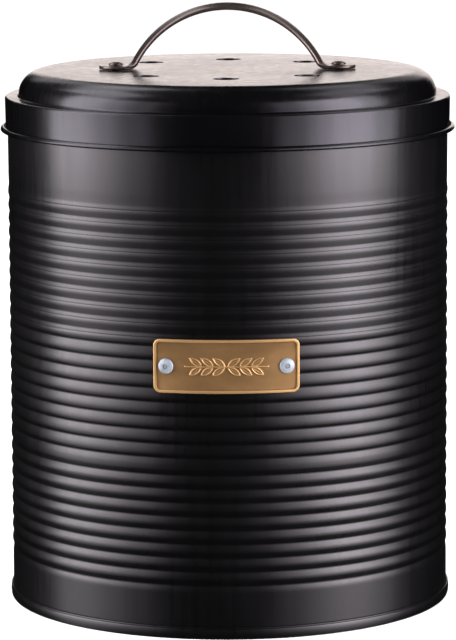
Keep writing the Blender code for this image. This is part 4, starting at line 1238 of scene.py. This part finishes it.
def drilled_tree(name, with_vents):
    """Cuts the two rivet holes on the vents' circle, and with them the six vents.

    Eight places stand evenly on the circle. The two on the X axis take the rivets, the other six the vents.
    """
    names = ["Circle radius", "Rivet hole radius", "Height", "Depth"]
    names += ["Vent radius", "Vent flare"] if with_vents else []
    tree, maker, geometry, given = geometry_tree(name, dict.fromkeys(names, "Float"))
    values = {"Vertices": 8, "Radius": given["Circle radius"]}
    circle = maker.node("GeometryNodeMeshCircle", None, values).outputs[0]
    values = {"Geometry": circle, "Translation": maker.vector(0.0, 0.0, given["Height"])}
    circle = maker.node("GeometryNodeTransform", None, values).outputs[0]
    index = Number(maker, maker.node("GeometryNodeInputIndex").outputs[0])
    is_rivet = maker.math("MODULO", index, 4.0) < 0.5
    values = {"Vertices": AROUND_RIVET // 2, "Radius": given["Rivet hole radius"], "Depth": given["Depth"]}
    drill = maker.node("GeometryNodeMeshCylinder", None, values).outputs[0]
    result = maker.cut(geometry, {"Points": circle, "Selection": is_rivet, "Instance": drill})
    if with_vents:
        flare, radius = given["Vent flare"], given["Vent radius"]
        values |= {"Vertices": AROUND_RIVET * 2, "Side Segments": 24, "Radius": radius}
        drill = maker.node("GeometryNodeMeshCylinder", None, values).outputs[0]
        x, y, z = maker.position()
        wider = 1 + maker.smooth(z, flare * -1.5, flare * 0.5) * flare / radius
        drill = maker.moved(drill, x * wider, y * wider, z)
        result = maker.cut(result, {"Points": circle, "Selection": 1 - is_rivet, "Instance": drill})
    close_tree(maker, result, given)
    return tree


def drill_holes(obj, caddy, height, look, with_vents=False):
    """Cuts the rivet holes, and in the lid the vents, through a piece at a height."""
    values = {
        "Circle radius": caddy.lid.vent_circle,
        "Rivet hole radius": caddy.rivet.shank_radius + caddy.rivet.fit,
        "Height": height,
        "Depth": 2 * CUT_OVERRUN,
        "Material": finish_for(look, caddy),
    }
    if with_vents:
        values |= {"Vent radius": caddy.lid.vent_radius, "Vent flare": VENT_FLARE}
    grow(obj, drilled_tree(f"Holes in {obj.name}", with_vents), values)


class CaddyLid(bpy.types.Operator):
    """Adds the lid with its rolled bead, skirt, ledge, crown and vents"""

    bl_idname = "caddy.lid"
    bl_label = "Lid"
    bl_options = {"REGISTER", "UNDO"}

    def execute(self, context):
        caddy = context.scene.caddy
        at = places(caddy)
        can, lid = caddy.can, caddy.lid
        skirt_in = can.wall_radius + lid.skirt_fit
        skirt_out = skirt_in + can.sheet
        skirt_low = at.ledge_top - lid.skirt_drop
        upper_out = skirt_out + lid.skirt_draft
        curl = lid.bead_radius - can.sheet
        bead_centre = (skirt_out + curl, skirt_low)
        shoulder_centre = (at.crown - lid.crown_shoulder, at.ledge_top + lid.crown_fillet)
        shoulder = (lid.crown_shoulder, lid.crown_height - lid.crown_fillet)
        foot_centre = (at.crown + lid.crown_fillet, at.ledge_top + lid.crown_fillet)
        ledge_centre = (upper_out - lid.ledge_corner, at.ledge_top - lid.ledge_corner)
        flat = [lid.vent_circle + FLAT_MARGIN, lid.vent_circle - FLAT_MARGIN]
        top = [(0, at.lid_top)] + [(r, at.lid_top) for r in reversed(flat)]
        top += arc(shoulder_centre, shoulder, 90, 0, 28)
        top += arc(foot_centre, lid.crown_fillet, 180, 270, 8)[1:]
        top += arc(ledge_centre, lid.ledge_corner, 90, 0, 10)
        bead = arc(bead_centre, curl, 180, 450, 16) + arc(bead_centre, lid.bead_radius, 450, 180, 28)
        bead = [(r, z if z > skirt_low else skirt_low + (z - skirt_low) * lid.bead_press) for r, z in bead]
        under = arc(ledge_centre, lid.ledge_corner - can.sheet, 0, 90, 5)
        under += arc(foot_centre, lid.crown_fillet + can.sheet, 270, 180, 6)
        under += arc(shoulder_centre, (shoulder[0] - can.sheet, shoulder[1] - can.sheet), 0, 90, 18)[1:]
        under += [(r, at.lid_under) for r in flat] + [(0, at.lid_under)]
        obj = new_object("pressed_lid", turned(top + bead + under, AROUND))
        drill_holes(obj, caddy, at.lid_top, "lid_paint", with_vents=True)
        coat = finish_for("lid_paint", caddy)
        finish_piece(obj, coat, "lid", ["lid_shell"], crease=50)
        return {"FINISHED"}


def strap_stations(lid, handle, can, at):
    """The strap's middle line from its top to the end of the right tab: place, slope, width and crown."""
    tab_height = at.lid_top + can.seat_gap + handle.thickness / 2
    bend_x = lid.vent_circle - handle.foot_start
    bend_height = tab_height + handle.foot_bend
    top = at.lid_top + handle.rise - handle.thickness / 2
    drop = top - bend_height
    arch = (bend_x**2 + drop**2 - handle.foot_bend**2) / (2 * (drop + handle.foot_bend))
    centre = top - arch
    steepest = math.atan2(bend_x, bend_height - centre)
    stations = []
    for i in range(49):
        slope = steepest * i / 48
        place = (arch * math.sin(slope), centre + arch * math.cos(slope))
        stations.append((*place, slope, handle.strap_width, handle.crown))
    bend = handle.foot_bend
    for part in (i / 16 for i in range(1, 17)):
        slope = steepest * (1 - part)
        place = (bend_x - bend * math.sin(slope), bend_height - bend * math.cos(slope))
        spread = part * part * (3 - 2 * part)
        width = handle.strap_width + (handle.tab_width - handle.strap_width) * spread
        stations.append((*place, slope, width, handle.crown * (1 - spread)))
    half = handle.tab_width / 2
    middle = lid.vent_circle + handle.tab_reach - half
    for i in range(25):
        angle = TAB_TURN * i / 24
        stations.append((middle + half * math.sin(angle), tab_height, 0, 2 * half * math.cos(angle), 0))
    return stations


class CaddyHandle(bpy.types.Operator):
    """Adds the strap handle"""

    bl_idname = "caddy.handle"
    bl_label = "Handle"
    bl_options = {"REGISTER", "UNDO"}

    def execute(self, context):
        caddy = context.scene.caddy
        at = places(caddy)
        handle = caddy.handle
        right = strap_stations(caddy.lid, handle, caddy.can, at)
        stations = [(-x, z, -slope, w, c) for x, z, slope, w, c in reversed(right[1:])] + right
        rings = []
        edge = handle.thickness / 2
        for x, z, slope, width, crown in stations:
            outward = Vector((math.sin(slope), 0, math.cos(slope)))
            flat = max(width / 2 - edge, width * 0.2)
            reach = width / 2 - flat
            section = []
            for side in (1, -1):
                section += [(side * flat * (k / 4 - 1), side * edge) for k in range(9)]
                for angle in (math.pi / 2 - math.pi * k / 6 for k in range(1, 6)):
                    section.append((side * (flat + reach * math.cos(angle)), side * edge * math.sin(angle)))
            lifts = [lift - crown * (2 * across / width) ** 2 for across, lift in section]
            rings.append([Vector((x, y, z)) + outward * lift for (y, _), lift in zip(section, lifts)])
        obj = new_object("strap_handle", joined_rings(rings))
        drill_holes(obj, caddy, at.lid_top, "gun_metal")
        plating = finish_for("gun_metal", caddy)
        finish_piece(obj, plating, "lid", ["lid_handle"], crease=50)
        return {"FINISHED"}


class CaddyHandleRivets(bpy.types.Operator):
    """Adds the rivets that hold the handle and the filter's holder"""

    bl_idname = "caddy.handle_rivets"
    bl_label = "Handle rivets"
    bl_options = {"REGISTER", "UNDO"}

    def execute(self, context):
        caddy = context.scene.caddy
        at = places(caddy)
        can, lid, rivet, cover = caddy.can, caddy.lid, caddy.rivet, caddy.filter
        seat = at.lid_top + can.seat_gap + caddy.handle.thickness + can.seat_gap
        grip = seat - (at.holder_top - cover.bar_thickness - can.seat_gap)
        tail = rivet.tail_length
        outline = rivet_head(rivet, 0, 16) + [(rivet.shank_radius, -grip), (rivet.tail_radius, -grip)]
        outline += arc((0, -grip - tail / 3), (rivet.tail_radius, tail * 2 / 3), 0, -90, 10)
        obj = new_object("handle_rivet_pair", turned(outline, AROUND_RIVET))
        material = finish_for("gun_metal", caddy)
        start, end = (Vector((side * lid.vent_circle, 0, seat)) for side in (-1, 1))
        tree = pair_tree("Handle rivets", radial=False)
        grow(obj, tree, {"Start": start, "End": end, "Material": material})
        finish_piece(obj, material, "lid", ["handle_rivet_left", "handle_rivet_right"])
        return {"FINISHED"}


def slot_tree():
    """Cuts parallel slots into a round grille. Each slot ends at the same circle."""
    sizes = {"Circle radius": "Float", "Slot": "Float", "Pitch": "Float", "Most": "Int"}
    sizes |= {"Height": "Float", "Depth": "Float"}
    tree, maker, geometry, given = geometry_tree("Grille slots", sizes)
    end = given["Most"] * given["Pitch"]
    start = maker.vector(0.0, 0 - end, given["Height"])
    step = maker.vector(0.0, given["Pitch"], 0.0)
    total = given["Most"] * 2 + 1
    values = {"Count": total, "Start Location": start, "Offset": step}
    points = maker.node("GeometryNodeMeshLine", {"mode": "OFFSET"}, values).outputs[0]
    _, y, _ = maker.position()
    outer = abs(y) + given["Slot"] / 2
    width = maker.math("SQRT", given["Circle radius"] * given["Circle radius"] - outer * outer) * 2
    cube = maker.node("GeometryNodeMeshCube", None, {"Size": (1, 1, 1)}).outputs[0]
    scale = maker.vector(width, given["Slot"], given["Depth"])
    close_tree(maker, maker.cut(geometry, {"Points": points, "Instance": cube, "Scale": scale}), given)
    return tree


class CaddyFilter(bpy.types.Operator):
    """Adds the filter's holder, grille and felt pad"""

    bl_idname = "caddy.filter"
    bl_label = "Filter"
    bl_options = {"REGISTER", "UNDO"}

    def execute(self, context):
        caddy = context.scene.caddy
        at = places(caddy)
        self.make_holder(caddy, at)
        self.make_grille(caddy, at)
        self.make_pad(caddy, at)
        return {"FINISHED"}

    def make_holder(self, caddy, at):
        cover = caddy.filter
        low = at.holder_top - cover.depth
        outline = [(at.holder, at.holder_top), (at.holder, low + CHAMFER), (at.holder - CHAMFER, low)]
        outline += [(at.holder_bore + CHAMFER, low), (at.holder_bore, low + CHAMFER)]
        outline += [(at.holder_bore, at.holder_top)]
        obj = new_object("filter_ring", turned(outline, AROUND_SMALL))
        bar = bmesh.new()
        corners = bmesh.ops.create_cube(bar, size=1)["verts"]
        size = (2 * at.holder - cover.wall, cover.bar_width, cover.bar_thickness)
        bmesh.ops.scale(bar, vec=size, verts=corners)
        bmesh.ops.translate(bar, vec=(0, 0, at.holder_top - cover.bar_thickness / 2), verts=corners)
        combine(obj, bar, "UNION")
        drill_holes(obj, caddy, at.holder_top, "grey_plastic")
        finish_piece(obj, finish_for("grey_plastic", caddy), "lid", ["filter_holder"])

    def make_grille(self, caddy, at):
        cover = caddy.filter
        collar_top = at.cover_top + cover.collar_height
        edge = cover.cover_thickness / 2
        outline = [(0, at.cover_top), (at.collar_bore, at.cover_top), (at.collar_bore, collar_top)]
        outline += [(at.collar - CHAMFER, collar_top), (at.collar, collar_top - CHAMFER)]
        outline += [(at.collar, at.cover_top)]
        outline += arc((at.holder - edge, at.cover_top - edge), edge, 90, -90, 8) + [(0, at.cover_low)]
        obj = new_object("filter_grille", turned(outline, AROUND_SMALL))
        place = (0, -at.holder)
        tab = rod((*place, at.cover_low), (*place, at.cover_top), cover.tab_radius, AROUND_RIVET)
        combine(obj, tab, "UNION")
        pitch = cover.bar + cover.slot
        values = {
            "Circle radius": at.grille,
            "Slot": cover.slot,
            "Pitch": pitch,
            "Most": int((at.grille - cover.slot / 2) / pitch),
            "Height": at.cover_top,
            "Depth": 2 * CUT_OVERRUN,
            "Material": finish_for("grey_plastic", caddy),
        }
        grow(obj, slot_tree(), values)
        finish_piece(obj, values["Material"], "filter_cover", ["filter_cover"])

    def make_pad(self, caddy, at):
        can, cover = caddy.can, caddy.filter
        low = at.cover_top + can.seat_gap
        high = low + cover.pad_thickness
        radius = at.collar_bore - can.seat_gap
        edge = cover.pad_edge
        rows = [radius * i / 48 for i in range(47)]
        outline = [(r, high) for r in rows] + arc((radius - edge, high - edge), edge, 90, 0, 4)
        outline += arc((radius - edge, low + edge), edge, 0, -90, 4) + [(r, low) for r in reversed(rows)]
        bm = turned(outline, AROUND_SMALL)
        for point in bm.verts:
            upper = point.co.z > low + cover.pad_thickness / 2
            lumps = UPPER_LUMPS if upper else LOWER_LUMPS
            dent = abs(sum(noise.noise(point.co * scale) * depth for scale, depth in lumps))
            point.co.z += -dent - FELT_DIP if upper else dent
        pad = new_object("felt_pad", bm)
        finish_piece(pad, finish_for("charcoal", caddy), "filter", ["filter_pad"], crease=80)


# Stage


def tall_light(name, azimuth, distance, width, low, high, brightness, tint):
    """An upright area light between two heights. Azimuth 0 is towards the camera, in degrees."""
    angle = math.radians(azimuth)
    out = Vector((math.sin(angle), -math.cos(angle), 0))
    data = bpy.data.lights.new(name, "AREA")
    data.shape = "RECTANGLE"
    data.size, data.size_y = width, high - low
    data.energy = brightness * math.pi * width * (high - low)
    data.color = tint
    lamp = bpy.data.objects.new(name, data)
    lamp.location = out * distance + Vector((0, 0, (low + high) / 2))
    lamp.rotation_euler = out.to_track_quat("Z", "Y").to_euler()
    lamp.visible_camera = False
    bpy.context.scene.collection.objects.link(lamp)


class CaddyStage(bpy.types.Operator):
    """Adds the floor, the lights and the camera"""

    bl_idname = "caddy.stage"
    bl_label = "Stage"
    bl_options = {"REGISTER", "UNDO"}

    def execute(self, context):
        studio = context.scene.caddy.studio
        self.make_floor(studio)
        self.make_lights(context.scene, studio)
        self.make_camera(context.scene)
        return {"FINISHED"}

    def make_floor(self, studio):
        bm = bmesh.new()
        bmesh.ops.create_grid(bm, x_segments=8, y_segments=8, size=FLOOR_SIZE)
        bmesh.ops.translate(bm, vec=(0, 0, -FLOOR_DROP), verts=bm.verts)
        floor = new_object("studio_floor", bm)
        material, maker, shader, place = new_material("studio_floor", 0.0, 0.75)
        colour = maker.blend(maker.grain(place, 3.0), toned(studio.floor, 0.985), studio.floor)
        maker.tree.links.new(colour, shader.inputs["Base Color"])
        floor.data.materials.append(material)
        floor.visible_glossy = False
        floor.visible_shadow = False

    def make_lights(self, scene, studio):
        world = bpy.data.worlds.new("studio_room")
        world.use_nodes = True
        backdrop = world.node_tree.nodes["Background"]
        backdrop.inputs["Color"].default_value = (1, 1, 1, 1)
        backdrop.inputs["Strength"].default_value = studio.ambient
        world.cycles_visibility.glossy = False
        scene.world = world
        words = ("light", "low_light", "deep_light")
        parts = list(zip(words, STRIP_HEIGHTS, STRIP_HEIGHTS[1:], (1.0, studio.below, studio.deep)))
        sides = (("left", studio.left, LEFT_STRIPS), ("right", studio.right, RIGHT_STRIPS))
        for side, power, strips in sides:
            for i, (start, end, share_of_side) in enumerate(strips):
                width = 2 * STRIP_DISTANCE * math.tan(math.radians(end - start) / 2)
                shape = ((start + end) / 2, STRIP_DISTANCE, width)
                for word, high, low, level in parts:
                    brightness = power * share_of_side * level
                    tall_light(f"{side}_{word}_{i}", *shape, low, high, brightness, COOL)
        high_lights = (
            ("side", SIDE_LIGHT, studio.above),
            ("rear", REAR_LIGHT, studio.behind),
            ("edge", EDGE_LIGHT, studio.edge),
        )
        for side, turn, power in (("left", -1, 1.0), ("right", 1, studio.right_share)):
            for word, (azimuth, *shape), level in high_lights:
                tall_light(f"{side}_{word}_light", turn * azimuth, *shape, power * level, COOL)
        tall_light("back_light", *BACK_LIGHT, studio.back, WARM)

    def make_camera(self, scene):
        yaw, pitch, roll = (math.radians(angle) for angle in CAMERA_TURNS)
        across = Vector((math.cos(yaw), -math.sin(yaw), 0))
        ahead = Vector((math.sin(yaw) * math.cos(pitch), math.cos(yaw) * math.cos(pitch), -math.sin(pitch)))
        up = Vector((math.sin(yaw) * math.sin(pitch), math.cos(yaw) * math.sin(pitch), math.cos(pitch)))
        right = math.cos(roll) * across + math.sin(roll) * up
        top = -math.sin(roll) * across + math.cos(roll) * up
        turn = Matrix((right, top, -ahead)).transposed().to_4x4()
        turn.translation = CAMERA_PLACE
        data = bpy.data.cameras.new("camera")
        data.sensor_width = CAMERA_SENSOR
        data.lens = CAMERA_LENS
        camera = bpy.data.objects.new("camera", data)
        camera.matrix_world = turn
        scene.collection.objects.link(camera)
        scene.camera = camera
        scene.view_settings.view_transform = "Standard"


PIECES = (
    CaddyCanWall,
    CaddyBase,
    CaddyPlate,
    CaddyPlateRivets,
    CaddyBucket,
    CaddyBail,
    CaddyLid,
    CaddyHandle,
    CaddyHandleRivets,
    CaddyFilter,
    CaddyStage,
)


def own_names(group):
    """The names of a group's own properties."""
    return [name for name in group.bl_rna.properties.keys() if name not in ("rna_type", "name")]


class CaddyPanel(bpy.types.Panel):
    """Lists the caddy's pieces and sizes"""

    bl_idname = "VIEW3D_PT_caddy"
    bl_label = "Food Waste Caddy"
    bl_space_type = "VIEW_3D"
    bl_region_type = "UI"
    bl_category = "Caddy"

    def draw(self, context):
        caddy = context.scene.caddy
        for piece in PIECES:
            self.layout.operator(piece.bl_idname)
        for group in own_names(caddy):
            box = self.layout.box()
            box.label(text=group.title())
            for name in own_names(getattr(caddy, group)):
                box.prop(getattr(caddy, group), name)


CLASSES = (
    CaddyCanSizes,
    CaddyBaseSizes,
    CaddyPlateSizes,
    CaddyRivetSizes,
    CaddyBucketSizes,
    CaddyLidSizes,
    CaddyHandleSizes,
    CaddyFilterSizes,
    CaddyFinishes,
    CaddyStudio,
    CaddySettings,
    *PIECES,
    CaddyPanel,
)


def register():
    for made in CLASSES:
        bpy.utils.register_class(made)
    bpy.types.Scene.caddy = PointerProperty(type=CaddySettings)


def unregister():
    del bpy.types.Scene.caddy
    for made in reversed(CLASSES):
        bpy.utils.unregister_class(made)


def main():
    register()
    for piece in PIECES:
        group, name = piece.bl_idname.split(".")
        getattr(getattr(bpy.ops, group), name)()


if __name__ == "__main__":
    main()
